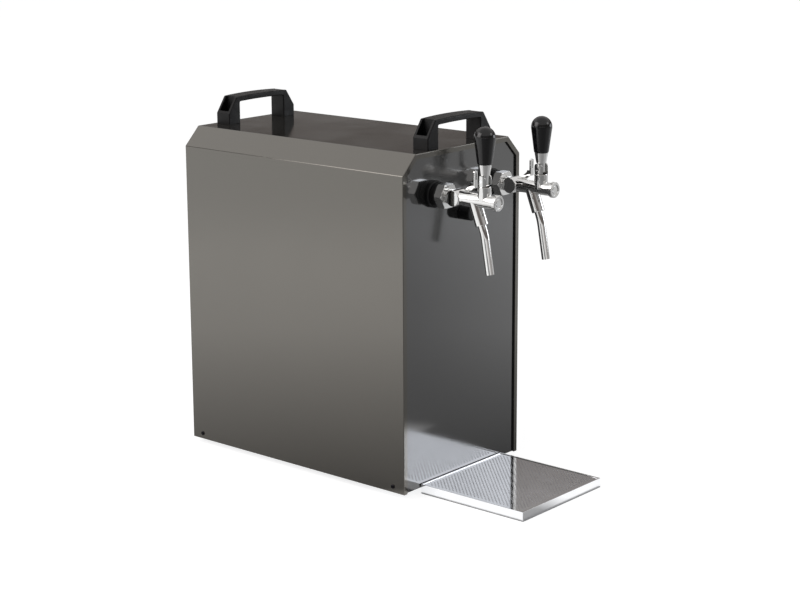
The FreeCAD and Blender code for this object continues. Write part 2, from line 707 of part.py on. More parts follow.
def handle(y):
    """Bridge handle with a screw pocket in each leg."""
    y0 = y - HANDLE_DEPTH / 2
    top = COVER_TOP

    def at(x, z):
        """Point of the outline, from the handle's middle and the cover."""
        return V(x, y0, top + z)

    crown = Part.Arc(at(HANDLE_TOP_REACH, HANDLE_CORNER), at(0, HANDLE_HEIGHT),
                     at(-HANDLE_TOP_REACH, HANDLE_CORNER))
    under = Part.Arc(at(-GAP_REACH, GAP_HEIGHT), at(0, GAP_CROWN), at(GAP_REACH, GAP_HEIGHT))
    left = [at(-HANDLE_TOP_REACH, HANDLE_CORNER), at(-HANDLE_REACH, HANDLE_SHOULDER),
            at(-HANDLE_REACH, 0), at(-GAP_REACH, 0), at(-GAP_REACH, GAP_HEIGHT)]
    right = [V(-p.x, p.y, p.z) for p in reversed(left)]
    edges = [crown.toShape(), Part.makePolygon(left), under.toShape(), Part.makePolygon(right)]
    outline = Part.Wire(Part.__sortEdges__([e for shape in edges for e in shape.Edges]))
    bridge = Part.Face(outline).extrude(Y * HANDLE_DEPTH)
    shoulder = top + HANDLE_SHOULDER
    above = top + HANDLE_HEIGHT

    def across(edge, low, high, near_gap):
        """True for an edge along the handle's depth, between two levels, at the gap or outside it."""
        middle = edge.CenterOfMass
        in_gap = abs(middle.x) < GAP_REACH + 1
        return runs_along(edge, Y) and low < middle.z < high and in_gap == near_gap

    def on_flat_end(edge):
        """True for an edge of the front or rear face, above the cover."""
        middle = edge.CenterOfMass
        return middle.z > top + 1 and abs(abs(middle.y - y) - HANDLE_DEPTH / 2) < 1e-6

    bridge = rounded(bridge, HANDLE_CROWN_CORNER, lambda e: across(e, shoulder + 1, above, False))
    bridge = rounded(bridge, HANDLE_SHOULDER_CORNER, lambda e: across(e, shoulder - 1, shoulder + 1, False))
    bridge = rounded(bridge, HANDLE_GAP_CORNER, lambda e: across(e, top + 1, above, True))
    bridge = rounded(bridge, HANDLE_ROUNDING, on_flat_end)
    pockets = []
    half = POCKET_WIDTH / 2
    for side in (-1, 1):
        x = sorted((side * POCKET_INNER, side * POCKET_OUTER))
        pockets.append(block(x[0], x[1], y - half, y + half, top + POCKET_FLOOR, above + 1))
    return bridge.cut(pockets + handle_screw_holes())


def handle_screws():
    """Socket-head screws in the handles' pockets."""
    seat = COVER_TOP + POCKET_FLOOR
    screws = []
    for x, y in handle_screw_places():
        shank = rod(V(x, y, COVER_TOP - HANDLE_SCREW_LENGTH), V(x, y, seat), HANDLE_SCREW_RADIUS)
        head = rod(V(x, y, seat), V(x, y, seat + HANDLE_SCREW_HEAD_HEIGHT), HANDLE_SCREW_HEAD)
        socket = hexagon(V(0, 0, 0), Y, HANDLE_SOCKET_FLATS, HANDLE_SCREW_HEAD_HEIGHT)
        socket.rotate(V(0, 0, 0), X, 90)
        socket.translate(V(x, y, seat + HANDLE_SOCKET_FLOOR))
        screws.append(joined([shank, head]).cut(socket))
    return screws


def inner_frame():
    """Bent sheet that stands in the pan and carries the insulation case."""
    outside = block(-FRAME_OUTER, FRAME_OUTER, CASE_FRONT, CASE_BACK, PAN_TOP, CASE_LOW)
    inside = block(-FRAME_INNER, FRAME_INNER, CASE_FRONT - 1, CASE_BACK + 1, 0, CASE_LOW - FRAME_SHEET)
    frame = outside.cut(inside)
    return frame.cut([rod(p, p + Z * (LINE_TAIL + 1), radius + FIT_GAP) for p, radius in floor_passes()])


# ---------------------------------------------------------------- cooling block and lines
def beer_route(side):
    """Beer line's corners: from the shank, to and fro through the block, then to the rear."""
    x = side * TAP_X
    front = BLOCK_FRONT + BEER_INSET
    back = BLOCK_BACK - BEER_INSET
    z = TAP_Z
    points = [V(x, PANEL_BACK + SHANK_INSIDE + FIT_GAP, z)]
    for run in range(BEER_RUNS):
        y = back if run % 2 == 0 else front
        points.append(V(x, y, z))
        if run < BEER_RUNS - 1:
            z -= BEER_RUN_PITCH
            points.append(V(x, y, z))
    points.append(V(x, back, BEER_LINE_Z))
    points.append(V(x, REAR_PANEL_IN - FITTING_THICK - FIT_GAP, BEER_LINE_Z))
    return points


def gas_route():
    """Evaporator's corners: up and down through the block, both ends below the case."""
    low = BLOCK_LOW + GAS_BEND + GAS_RADIUS
    high = BLOCK_TOP - GAS_BEND
    below = CASE_LOW - LINE_TAIL
    y = BLOCK_FRONT + GAS_PITCH / 2
    points = []
    for run in range(GAS_RUNS):
        ends = (low, high) if run % 2 == 0 else (high, low)
        points += [V(0, y, z) for z in ends]
        y += GAS_PITCH
    points[0].z = below
    points[-1].z = below
    return points


def floor_passes():
    """Tubes that go down through the case's floor, as a point below it and a radius."""
    low = CASE_LOW - LINE_TAIL
    gas = gas_route()
    ends = [(V(0, p.y, low), GAS_RADIUS) for p in (gas[0], gas[-1])]
    for side in SIDES.values():
        ends.append((V(side * TAP_X, BLOCK_BACK - BEER_INSET, low), BEER_RADIUS))
    return ends


def beer_coil(side):
    """Stainless beer line with its cooling loops."""
    return bent_tube(beer_route(side), BEER_BEND, BEER_RADIUS, BEER_BORE)


def evaporator_tube():
    """Copper tube in the middle of the block."""
    return bent_tube(gas_route(), GAS_BEND, GAS_RADIUS, GAS_BORE)


def cooling_block():
    """Cast aluminium block with channels for the tubes and a hole for the bulb."""
    body = block(-BLOCK_HALF, BLOCK_HALF, BLOCK_FRONT, BLOCK_BACK, BLOCK_LOW, BLOCK_TOP)
    body = rounded(body, BLOCK_CORNER, lambda e: runs_along(e, Z))
    channels = [bent_bar(beer_route(side), BEER_BEND, BEER_RADIUS + FIT_GAP) for side in SIDES.values()]
    channels.append(bent_bar(gas_route(), GAS_BEND, GAS_RADIUS + FIT_GAP))
    start, end = bulb_ends()
    channels.append(rod(start - Y, end + Y * FIT_GAP, BULB_RADIUS + FIT_GAP))
    return body.cut(channels)


def case_passes():
    """Holes in the insulation for the shanks, the thermostat and the tubes."""
    through = LINE_TAIL + CASE_WALL + 1
    holes = [rod(p, p + Z * through, radius + FIT_GAP) for p, radius in floor_passes()]
    y0 = CASE_FRONT - 1
    y1 = CASE_FRONT + CASE_WALL + 1
    for side in SIDES.values():
        x = side * TAP_X
        holes.append(rod(V(x, y0, TAP_Z), V(x, y1, TAP_Z), SHANK_RADIUS + FIT_GAP))
    half = THERMOSTAT_SIDE / 2 + POCKET_CLEAR
    back = PANEL_BACK + THERMOSTAT_DEPTH + FIT_GAP
    holes.append(block(-half, half, y0, back, KNOB_Z - half, KNOB_Z + half))
    start = bulb_ends()[0]
    holes.append(rod(V(start.x, CASE_FRONT, start.z), start, BULB_RADIUS + FIT_GAP))
    return holes


def insulation_case():
    """Foam box round the cooling block, open at the top."""
    inner = CASE_HALF - CASE_WALL
    y0 = CASE_FRONT + CASE_WALL
    y1 = CASE_BACK - CASE_WALL
    box = block(-CASE_HALF, CASE_HALF, CASE_FRONT, CASE_BACK, CASE_LOW, WALL_TOP)
    hollow = block(-inner, inner, y0, y1, CASE_LOW + CASE_WALL, CASE_TOP)
    return box.cut([hollow] + case_passes())


def insulation_lid():
    """Foam lid on the case's walls, with a plug down into the case."""
    plate = block(-CASE_HALF, CASE_HALF, CASE_FRONT, CASE_BACK, WALL_TOP, CASE_TOP)
    inner = CASE_HALF - CASE_WALL - FIT_GAP
    y0 = CASE_FRONT + CASE_WALL + FIT_GAP
    y1 = CASE_BACK - CASE_WALL - FIT_GAP
    return joined([plate, block(-inner, inner, y0, y1, LID_LOW, WALL_TOP)])


# ---------------------------------------------------------------- compressor and circuit
def grommet_places():
    """Middles of the compressor's four mounts."""
    half = GROMMET_SPACING / 2
    return [(i * half, COMPRESSOR_Y + j * half) for i in (-1, 1) for j in (-1, 1)]


def compressor_profile(inset):
    """Half section of the can, inset from its outside."""
    radius = COMPRESSOR_RADIUS - inset
    knee = COMPRESSOR_KNEE_RADIUS - inset
    flat = COMPRESSOR_FLAT_RADIUS - inset
    low = inset
    high = COMPRESSOR_HEIGHT - inset
    return [(low, 0), (low, flat), (low + COMPRESSOR_KNEE, knee), (low + COMPRESSOR_DOME, radius),
            (high - COMPRESSOR_DOME, radius), (high - COMPRESSOR_KNEE, knee), (high, flat), (high, 0)]


def compressor_can():
    """Welded steel can on its base plate."""
    foot = V(0, COMPRESSOR_Y, PLATE_TOP)
    can = turned(compressor_profile(0), foot, Z).cut(turned(compressor_profile(COMPRESSOR_WALL), foot, Z))
    half = PLATE_SIDE / 2
    plate = block(-half, half, COMPRESSOR_Y - half, COMPRESSOR_Y + half, PLATE_LOW, PLATE_TOP)
    plate = rounded(plate, PLATE_CORNER, lambda e: runs_along(e, Z))
    whole = joined([can, plate])
    holes = [rod(V(x, y, 0), V(x, y, PLATE_TOP + 1), BOLT_RADIUS + SEAT_GAP) for x, y in grommet_places()]
    return whole.cut(holes)


def compressor_motor():
    """Motor above its pump inside the can, standing on the can's floor."""
    low = PLATE_TOP + COMPRESSOR_WALL
    high = COMPRESSOR_TOP - COMPRESSOR_WALL - MOTOR_HEADROOM
    middle = (low + high) / 2
    profile = [(low, 0), (low, PUMP_RADIUS), (middle, PUMP_RADIUS), (middle, MOTOR_RADIUS),
               (high, MOTOR_RADIUS), (high, 0)]
    return turned(profile, V(0, COMPRESSOR_Y, 0), Z)


def compressor_grommets():
    """Rubber mounts between the pan and the base plate."""
    return [pipe(V(x, y, PAN_TOP), V(x, y, PLATE_LOW), GROMMET_RADIUS, BOLT_RADIUS + SEAT_GAP)
            for x, y in grommet_places()]


def compressor_bolts():
    """Bolts up through the pan, the grommets and the base plate, with their nuts."""
    bolts = []
    for x, y in grommet_places():
        nut_top = PLATE_TOP + BOLT_NUT
        shank = rod(V(x, y, PAN_BOTTOM), V(x, y, nut_top + BOLT_PROUD), BOLT_RADIUS)
        nut = rod(V(x, y, PLATE_TOP), V(x, y, nut_top), BOLT_NUT_RADIUS)
        bolts.append(joined([shank, nut]))
    return bolts


def start_relay():
    """Relay and overload housing clipped to the can's side."""
    x0 = -COMPRESSOR_RADIUS - RELAY_REACH
    x1 = -COMPRESSOR_RADIUS + RELAY_WRAP
    y = COMPRESSOR_Y
    z = PLATE_TOP + RELAY_RISE
    half = RELAY_SIZE / 2
    box = block(x0, x1, y - half, y + half, z, z + RELAY_SIZE)
    box = rounded(box, HOUSING_CORNER, lambda e: runs_along(e, X))
    can = rod(V(0, y, 0), V(0, y, CASE_LOW), COMPRESSOR_RADIUS + SEAT_GAP)
    return box.cut(can)


def condenser_route():
    """Corners of the condenser tube, from the discharge line to the drier."""
    x = CONDENSER_WIDTH / 2 + HAIRPIN
    y = CONDENSER_Y
    z = CONDENSER_TOP - (CONDENSER_HEIGHT - (CONDENSER_RUNS - 1) * CONDENSER_PITCH) / 2
    points = [V(LINE_SIDE - GAS_BEND, y, z)]
    for run in range(CONDENSER_RUNS - 1):
        side = -1 if run % 2 == 0 else 1
        points += [V(side * x, y, z), V(side * x, y, z - CONDENSER_PITCH)]
        z -= CONDENSER_PITCH
    points += [V(-LINE_SIDE, y, z), V(-LINE_SIDE, y, DRIER_Z), V(-LINE_SIDE, DRIER_BACK + FIT_GAP, DRIER_Z)]
    return points


def condenser_tube():
    """Copper tube to and fro through the fins and on to the drier."""
    return bent_tube(condenser_route(), GAS_BEND, GAS_RADIUS, GAS_BORE)


def condenser_fins():
    """Thin upright fins, drilled for the tube, between two rails."""
    half = CONDENSER_WIDTH / 2
    count = int(CONDENSER_WIDTH / FIN_PITCH)
    y0 = CONDENSER_FRONT
    y1 = CONDENSER_BACK
    fins = []
    for i in range(count + 1):
        x = -half + i * (CONDENSER_WIDTH - FIN_SHEET) / count
        fins.append(block(x, x + FIN_SHEET, y0, y1, CONDENSER_LOW, CONDENSER_TOP))
    for low in (CONDENSER_LOW, CONDENSER_TOP - FIN_RAIL):
        fins.append(block(-half, half, y0, y1, low, low + FIN_RAIL))
    top = condenser_route()[0].z
    drills = []
    for run in range(CONDENSER_RUNS):
        start = V(-half - 1, CONDENSER_Y, top - run * CONDENSER_PITCH)
        drills.append(rod(start, start + X * (CONDENSER_WIDTH + 2), GAS_RADIUS + FIT_GAP))
    return joined(fins).cut(drills)


def discharge_line():
    """Hot gas line from the can to the condenser."""
    z = PLATE_TOP + DISCHARGE_RISE
    turn = CONDENSER_LOW - DISCHARGE_DROP
    top = condenser_route()[0].z
    points = [V(COMPRESSOR_RADIUS + FIT_GAP, COMPRESSOR_Y, z), V(LINE_SIDE, COMPRESSOR_Y, z),
              V(LINE_SIDE, COMPRESSOR_Y, turn), V(LINE_SIDE, CONDENSER_Y, turn),
              V(LINE_SIDE, CONDENSER_Y, top), V(LINE_SIDE - GAS_BEND + FIT_GAP, CONDENSER_Y, top)]
    return bent_tube(points, LINE_BEND, GAS_RADIUS, GAS_BORE)


def suction_line():
    """Cold gas line from the evaporator back to the can."""
    top = gas_route()[-1]
    z = PLATE_TOP + SUCTION_RISE
    end = V(0, COMPRESSOR_Y - COMPRESSOR_RADIUS - FIT_GAP, z)
    return bent_tube([top - Z * FIT_GAP, V(0, top.y, z), end], LINE_BEND, GAS_RADIUS, GAS_BORE)


def filter_drier():
    """Drier cartridge in the liquid line, with its necked ends."""
    body = DRIER_NECK + DRIER_CONE
    far = DRIER_LENGTH
    profile = [(0, 0), (0, DRIER_NECK_RADIUS), (DRIER_NECK, DRIER_NECK_RADIUS), (body, DRIER_RADIUS),
               (far - body, DRIER_RADIUS), (far - DRIER_NECK, DRIER_NECK_RADIUS),
               (far, DRIER_NECK_RADIUS), (far, 0)]
    return turned(profile, V(-LINE_SIDE, DRIER_BACK, DRIER_Z), Y * -1)


def capillary_tube():
    """Thin tube that feeds the evaporator."""
    start = V(-LINE_SIDE, DRIER_BACK - DRIER_LENGTH - FIT_GAP, DRIER_Z)
    inlet = gas_route()[0]
    points = [start, V(-LINE_SIDE, inlet.y, start.z), V(0, inlet.y, start.z), inlet - Z * FIT_GAP]
    return bent_bar(points, GAS_BEND, CAPILLARY_RADIUS)


def fan_shroud():
    """Plate with a ring round the blades, shelves over and under the fins, and the motor's arms."""
    half = CONDENSER_WIDTH / 2
    low = CONDENSER_LOW - SHROUD_SHEET - FIT_GAP
    high = CONDENSER_TOP + SHROUD_SHEET + FIT_GAP
    plate = block(-half, half, SHROUD_FRONT, SHROUD_BACK, low, high)
    floor = block(-half, half, SHROUD_FRONT, REAR_PANEL_IN, low, low + SHROUD_SHEET)
    roof = block(-half, half, SHROUD_FRONT, REAR_PANEL_IN, high - SHROUD_SHEET, high)
    inner = FAN_RADIUS + FAN_TIP_GAP
    arm_y = SHROUD_FRONT - SHROUD_RING
    arm_back = arm_y + SHROUD_SHEET
    ring = rod(V(0, arm_y, FAN_Z), V(0, SHROUD_BACK, FAN_Z), inner + SHROUD_SHEET)
    hole = rod(V(0, arm_y - 1, FAN_Z), V(0, SHROUD_BACK + 1, FAN_Z), inner)
    seat = FAN_MOTOR_RADIUS + SEAT_GAP
    arms = []
    for turn in FAN_ARM_TURNS:
        arm = block(seat, inner + SHROUD_SHEET / 2, arm_y, arm_back, -FAN_ARM / 2, FAN_ARM / 2)
        arm.rotate(V(0, 0, 0), Y, turn)
        arm.translate(V(0, 0, FAN_Z))
        arms.append(arm)
    band = pipe(V(0, arm_y, FAN_Z), V(0, arm_back, FAN_Z), FAN_MOTOR_RADIUS + FAN_BAND, seat)
    return joined([joined([plate, floor, roof, ring]).cut(hole), band] + arms)


def fan_motor():
    """Motor in the shroud's arms, with its shaft towards the blades."""
    body = turned([(0, 0), (0, FAN_MOTOR_RADIUS - FAN_MOTOR_EDGE), (FAN_MOTOR_EDGE, FAN_MOTOR_RADIUS),
                   (FAN_MOTOR_LENGTH, FAN_MOTOR_RADIUS), (FAN_MOTOR_LENGTH, 0)],
                  V(0, FAN_MOTOR_FRONT, FAN_Z), Y)
    shaft_end = FAN_BACK - FAN_HUB_FLOOR - SWING_GAP
    return joined([body, rod(V(0, FAN_MOTOR_BACK - 1, FAN_Z), V(0, shaft_end, FAN_Z), FAN_SHAFT_RADIUS)])


def fan_blades():
    """Moulded fan: a hub on the shaft and pitched blades."""
    centre = V(0, (FAN_FRONT + FAN_BACK) / 2, FAN_Z)
    front = V(0, FAN_FRONT, FAN_Z)
    back = V(0, FAN_BACK, FAN_Z)
    sweep = rod(front, back, FAN_RADIUS)
    thick = BLADE_SHEET / 2
    chord = BLADE_CHORD / 2
    blades = []
    for i in range(FAN_BLADES):
        blade = block(FAN_HUB_RADIUS - BLADE_ROOT, FAN_RADIUS, -thick, thick, -chord, chord)
        blade.rotate(V(0, 0, 0), X, -FAN_PITCH)
        blade.rotate(V(0, 0, 0), Y, 360 / FAN_BLADES * i)
        blade.translate(centre)
        blades.append(blade.common(sweep))
    bore = rod(front - Y, back - Y * FAN_HUB_FLOOR, FAN_SHAFT_RADIUS + RUN_GAP)
    return joined([rod(front, back, FAN_HUB_RADIUS)] + blades).cut(bore)


# ---------------------------------------------------------------- thermostat
def bulb_ends():
    """Ends of the thermostat's bulb in the cooling block."""
    start = V(BULB_OFFSET, BLOCK_FRONT, KNOB_Z)
    return start, start + Y * BULB_LENGTH


def thermostat():
    """Thermostat behind the panel, with its shaft and its sensing bulb."""
    half = THERMOSTAT_SIDE / 2
    back = PANEL_BACK + THERMOSTAT_DEPTH
    body = block(-half, half, PANEL_BACK, back, KNOB_Z - half, KNOB_Z + half)
    body = rounded(body, HOUSING_CORNER, lambda e: runs_along(e, Y))
    shaft = rod(V(0, PANEL_BACK + 1, KNOB_Z), V(0, SHAFT_FRONT, KNOB_Z), THERMOSTAT_SHAFT)
    start, end = bulb_ends()
    tube = rod(V(start.x, back - 1, start.z), start + Y, BULB_TUBE_RADIUS)
    return joined([body, shaft, tube, rod(start, end, BULB_RADIUS)])


def thermostat_knob():
    """Turned knob with a pointer groove in its face."""
    face = PANEL_FRONT - KNOB_LENGTH
    base = PANEL_FRONT - KNOB_GAP
    length = base - face
    knob = turned([(0, 0), (0, KNOB_RADIUS), (length - KNOB_EDGE, KNOB_RADIUS),
                   (length, KNOB_RADIUS - KNOB_EDGE), (length, 0)], V(0, base, KNOB_Z), Y * -1)
    shaft_hole = rod(V(0, base + 1, KNOB_Z), V(0, SHAFT_FRONT - SWING_GAP, KNOB_Z),
                     THERMOSTAT_SHAFT + RUN_GAP)
    half = GROOVE_WIDTH / 2
    groove = block(-half, half, face - 1, face + GROOVE_DEPTH, KNOB_Z + GROOVE_START, KNOB_Z + KNOB_RADIUS)
    return knob.cut([shaft_hole, groove])


# ---------------------------------------------------------------- taps
def tap_point(side, offset, z=0.0):
    """Point on a tap's axis, at an offset in front of the panel."""
    return V(side * TAP_X, PANEL_FRONT - offset, TAP_Z + z)


def shank(side):
    """Threaded tube through the panel and the insulation."""
    front = tap_point(side, SHANK_FRONT)
    back = tap_point(side, -PANEL_SHEET - SHANK_INSIDE)
    return pipe(front, back, SHANK_RADIUS, SHANK_BORE)


def shank_flange(side):
    """Black wall flange with a collar up to the coupling nut."""
    bore = SHANK_RADIUS + FIT_GAP
    neck = FLANGE_THICK + FLANGE_NECK
    profile = [(0, bore), (0, FLANGE_RADIUS), (FLANGE_THICK - FLANGE_EDGE, FLANGE_RADIUS),
               (FLANGE_THICK, FLANGE_RADIUS - FLANGE_EDGE), (FLANGE_THICK, FLANGE_NECK_RADIUS),
               (neck, FLANGE_NECK_RADIUS), (neck, COLLAR_RADIUS), (COLLAR_FRONT - COLLAR_EDGE, COLLAR_RADIUS),
               (COLLAR_FRONT, COLLAR_RADIUS - COLLAR_EDGE), (COLLAR_FRONT, bore)]
    return turned(profile, tap_point(side, 0), Y * -1)


def chamfered_nut(start, flats, length):
    """Hexagonal nut with both ends turned down at the corners."""
    corner = flats / math.sqrt(3)
    edge = NUT_CHAMFER
    body = hexagon(start, Y * -1, flats, length)
    limit = turned([(0, 0), (0, corner - edge), (edge, corner), (length - edge, corner),
                    (length, corner - edge), (length, 0)], start, Y * -1)
    return body.common(limit)


def shank_back_nut(side):
    """Nut that pulls the shank against the panel from inside."""
    start = tap_point(side, -PANEL_SHEET)
    nut = chamfered_nut(start + Y * BACK_NUT_LENGTH, BACK_NUT_FLATS, BACK_NUT_LENGTH)
    return nut.cut(rod(start - Y, start + Y * (BACK_NUT_LENGTH + 1), SHANK_RADIUS + FIT_GAP))


def coupling_nut(side):
    """Chromed nut that holds the tap to its shank."""
    start = tap_point(side, NUT_START)
    nut = chamfered_nut(start, NUT_FLATS, NUT_END - NUT_START)
    thread = rod(start + Y, tap_point(side, NUT_END - NUT_LIP), SHANK_RADIUS + FIT_GAP)
    neck = rod(start, tap_point(side, NUT_END + 1), NECK_RADIUS + FIT_GAP)
    return nut.cut([thread, neck])


def clevis(side):
    """Collar on the barrel, slotted for the lever, with ears rounded about the pin."""
    x = side * TAP_X
    low = V(x, LEVER_Y, TAP_Z)
    groove = CLEVIS_GROOVE_HEIGHT
    waist = CLEVIS_RADIUS - CLEVIS_GROOVE
    collar = turned([(0, 0), (0, CLEVIS_RADIUS), (groove - CLEVIS_GROOVE, CLEVIS_RADIUS),
                     (groove, waist), (groove + CLEVIS_GROOVE, CLEVIS_RADIUS),
                     (CLEVIS_TOP, CLEVIS_RADIUS), (CLEVIS_TOP, 0)], low, Z)
    reach = CLEVIS_RADIUS + 1
    y0 = LEVER_Y - reach
    y1 = LEVER_Y + reach
    pivot_left = V(x - reach, LEVER_Y, PIVOT_Z)
    pivot_right = V(x + reach, LEVER_Y, PIVOT_Z)
    straight = block(x - reach, x + reach, y0, y1, TAP_Z, PIVOT_Z)
    collar = collar.common(straight.fuse(rod(pivot_left, pivot_right, EAR_RADIUS)))
    half = SLOT_WIDTH / 2
    slot = block(x - half, x + half, y0, y1, PIVOT_Z - TONGUE_RADIUS - SWING_GAP, CLEVIS_Z + 1)
    return collar.cut([slot, rod(pivot_left, pivot_right, PIN_RADIUS + SEAT_GAP)])


def barrel_bore_end():
    """Offset of the barrel bore's closed end."""
    return TAP_LENGTH - BORE_END_WALL


def tap_body(side):
    """Chromed casting: tail, cross hub, barrel with its end ring, and the clevis."""
    x = side * TAP_X
    ring = TAP_LENGTH - RING_LENGTH
    recess = TAP_LENGTH - RING_RECESS
    plug = recess + PLUG_HEIGHT
    outline = [(TAIL_START, 0), (TAIL_START, TAIL_RADIUS), (TAIL_FRONT, TAIL_RADIUS),
               (TAIL_FRONT, NECK_RADIUS),
               (HUB_OFFSET - TAPER_BACK, NECK_RADIUS), (HUB_OFFSET + TAPER_MIDDLE, TAPER_RADIUS),
               (HUB_OFFSET + TAPER_FRONT, BARREL_RADIUS), (ring - RING_COVE, BARREL_RADIUS),
               (ring, RING_RADIUS), (TAP_LENGTH - TAP_EDGE, RING_RADIUS),
               (TAP_LENGTH, RING_RADIUS - TAP_EDGE), (TAP_LENGTH, RING_RECESS_RADIUS),
               (recess, RING_RECESS_RADIUS), (recess, PLUG_RADIUS), (plug, PLUG_RADIUS), (plug, 0)]
    barrel = turned(outline, tap_point(side, 0), Y * -1)
    width = 2 * HUB_REACH
    hub = turned([(0, 0), (0, HUB_RADIUS - TAP_EDGE), (TAP_EDGE, HUB_RADIUS),
                  (width - TAP_EDGE, HUB_RADIUS), (width, HUB_RADIUS - TAP_EDGE), (width, 0)],
                 V(x - HUB_REACH, HUB_Y, TAP_Z), X)
    whole = joined([barrel, hub, clevis(side)])
    bore = rod(tap_point(side, TAIL_START - 1), tap_point(side, barrel_bore_end()), BARREL_BORE)
    spindle = rod(V(x, HUB_Y, TAP_Z), V(x + HUB_REACH + 1, HUB_Y, TAP_Z), SPINDLE_RADIUS + RUN_GAP)
    root, down = spout_axis(side)
    port = rod(root, root + down * (2 * BARREL_RADIUS), SPOUT_BORE)
    return whole.cut([bore, spindle, port])


def spout_axis(side):
    """Where the spout's axis meets the tap's axis, and its direction downwards."""
    tilt = math.radians(SPOUT_TILT)
    return tap_point(side, SPOUT_ROOT), V(0, -math.sin(tilt), -math.cos(tilt))


def spout_route(side):
    """Corners of the spout's centre line, starting inside the barrel."""
    root, down = spout_axis(side)
    tilt = math.radians(SPOUT_TIP_TILT)
    tip = V(0, -math.sin(tilt), -math.cos(tilt))
    knee = root + down * SPOUT_KNEE
    return [root + down * SPOUT_START, knee, knee + tip * SPOUT_TIP]


def spout(side):
    """Bent spout with the sleeve that joins it to the barrel."""
    root, down = spout_axis(side)
    tube = bent_bar(spout_route(side), SPOUT_BEND, SPOUT_RADIUS)
    sleeve = turned([(SPOUT_START, 0), (SPOUT_START, SLEEVE_RADIUS),
                     (SLEEVE_LENGTH - TAP_EDGE, SLEEVE_RADIUS),
                     (SLEEVE_LENGTH, SLEEVE_RADIUS - TAP_EDGE), (SLEEVE_LENGTH, 0)], root, down)
    whole = joined([tube, sleeve])
    barrel = rod(tap_point(side, 0), tap_point(side, TAP_LENGTH), BARREL_RADIUS + SEAT_GAP)
    return whole.cut([barrel, bent_bar(spout_route(side), SPOUT_BEND, SPOUT_BORE)])


def lever_pin(side):
    """Pin through the ears and the lever's tongue."""
    x = side * TAP_X
    half = PIN_LENGTH / 2
    return rod(V(x - half, LEVER_Y, PIVOT_Z), V(x + half, LEVER_Y, PIVOT_Z), PIN_RADIUS)


def tap_lever(side):
    """Chromed lever: tongue on the pin, tapered ferrule, and a stud for the grip."""
    x = side * TAP_X
    half = TONGUE_WIDTH / 2
    pivot = V(x, LEVER_Y, PIVOT_Z)
    eye = rod(pivot - X * half, pivot + X * half, TONGUE_RADIUS)
    limit = rod(pivot - Z * (TONGUE_RADIUS + 1), pivot + Z * (TONGUE_RADIUS + 1), half)
    neck = rod(pivot, V(x, LEVER_Y, FERRULE_Z + 1), half)
    stud_top = FERRULE_LENGTH + STUD_LENGTH
    ferrule = turned([(0, 0), (0, FERRULE_LOW_RADIUS), (FERRULE_LENGTH, FERRULE_HIGH_RADIUS),
                      (FERRULE_LENGTH, STUD_RADIUS), (stud_top, STUD_RADIUS), (stud_top, 0)],
                     V(x, LEVER_Y, FERRULE_Z), Z)
    lever = joined([eye.common(limit), neck, ferrule])
    return lever.cut(rod(pivot - X * (half + 1), pivot + X * (half + 1), PIN_RADIUS + RUN_GAP))


def lever_grip(side):
    """Pear-shaped grip screwed on the lever's stud: a cone that runs into a ball."""
    x = side * TAP_X
    ball = GRIP_Z + GRIP_LENGTH - GRIP_BALL_RADIUS
    drop = ball - GRIP_Z - GRIP_EDGE
    slant = math.hypot(drop, GRIP_LOW_RADIUS)
    lean = math.atan2(drop, GRIP_LOW_RADIUS) - math.acos(GRIP_BALL_RADIUS / slant)

    def on_ball(angle):
        """Point of the ball's outline, at an angle above its middle."""
        return V(x + GRIP_BALL_RADIUS * math.cos(angle), LEVER_Y, ball + GRIP_BALL_RADIUS * math.sin(angle))

    foot = V(x, LEVER_Y, GRIP_Z + FIT_GAP)
    low = foot + X * (GRIP_LOW_RADIUS - GRIP_EDGE)
    edge = V(x + GRIP_LOW_RADIUS, LEVER_Y, GRIP_Z + GRIP_EDGE)
    touch = on_ball(-lean)
    crest = on_ball(math.pi / 2)
    edges = [Part.makeLine(foot, low), Part.makeLine(low, edge), Part.makeLine(edge, touch),
             Part.Arc(touch, on_ball(math.pi / 4), crest).toShape(), Part.makeLine(crest, foot)]
    grip = Part.Face(Part.Wire(edges)).revolve(foot, Z, 360)
    return grip.cut(rod(foot - Z, foot + Z * (STUD_LENGTH + 1), STUD_RADIUS + SEAT_GAP))


def compensator_lever(side):
    """Flat lever beside the hub: disc on its spindle, arm, and an upright thumb tab."""
    inner = side * TAP_X + HUB_REACH + FIT_GAP
    hub = V(inner, HUB_Y, TAP_Z)
    disc = rod(hub, hub + X * PLATE, PLATE_DISC_RADIUS)
    spindle_end = V(side * TAP_X + BARREL_BORE + SWING_GAP, HUB_Y, TAP_Z)
    spindle = rod(hub + X * (PLATE / 2), spindle_end, SPINDLE_RADIUS)
    half = PLATE_ARM_WIDTH / 2
    tab_low = TAP_Z + TAB_FOOT
    tab_high = TAP_Z + TAB_HEIGHT
    foot = V(inner, HUB_Y - TAB_OFFSET, tab_low + half)
    along = (foot - hub).normalize()
    across = along.cross(X) * half
    arm = prism([hub - across, hub + across, foot + across, foot - across], X * PLATE)
    y0 = foot.y - half
    tab = block(inner, inner + TAB_WIDTH, y0, y0 + PLATE, tab_low, tab_high)
    tab = rounded(tab, TAB_CORNER, lambda e: runs_along(e, Y) and e.CenterOfMass.z > tab_high - 1)
    middle = inner + TAB_WIDTH / 2
    slot_high = tab_high - TAB_SLOT_DROP
    slot = block(middle - TAB_SLOT_WIDTH / 2, middle + TAB_SLOT_WIDTH / 2, y0 - 1, y0 + PLATE + 1,
                 slot_high - TAB_SLOT_LENGTH, slot_high)
    heel = block(inner, inner + PLATE, y0, foot.y + half, tab_low, tab_low + PLATE_ARM_WIDTH)
    return joined([disc, spindle, arm, heel, tab.cut(slot)])


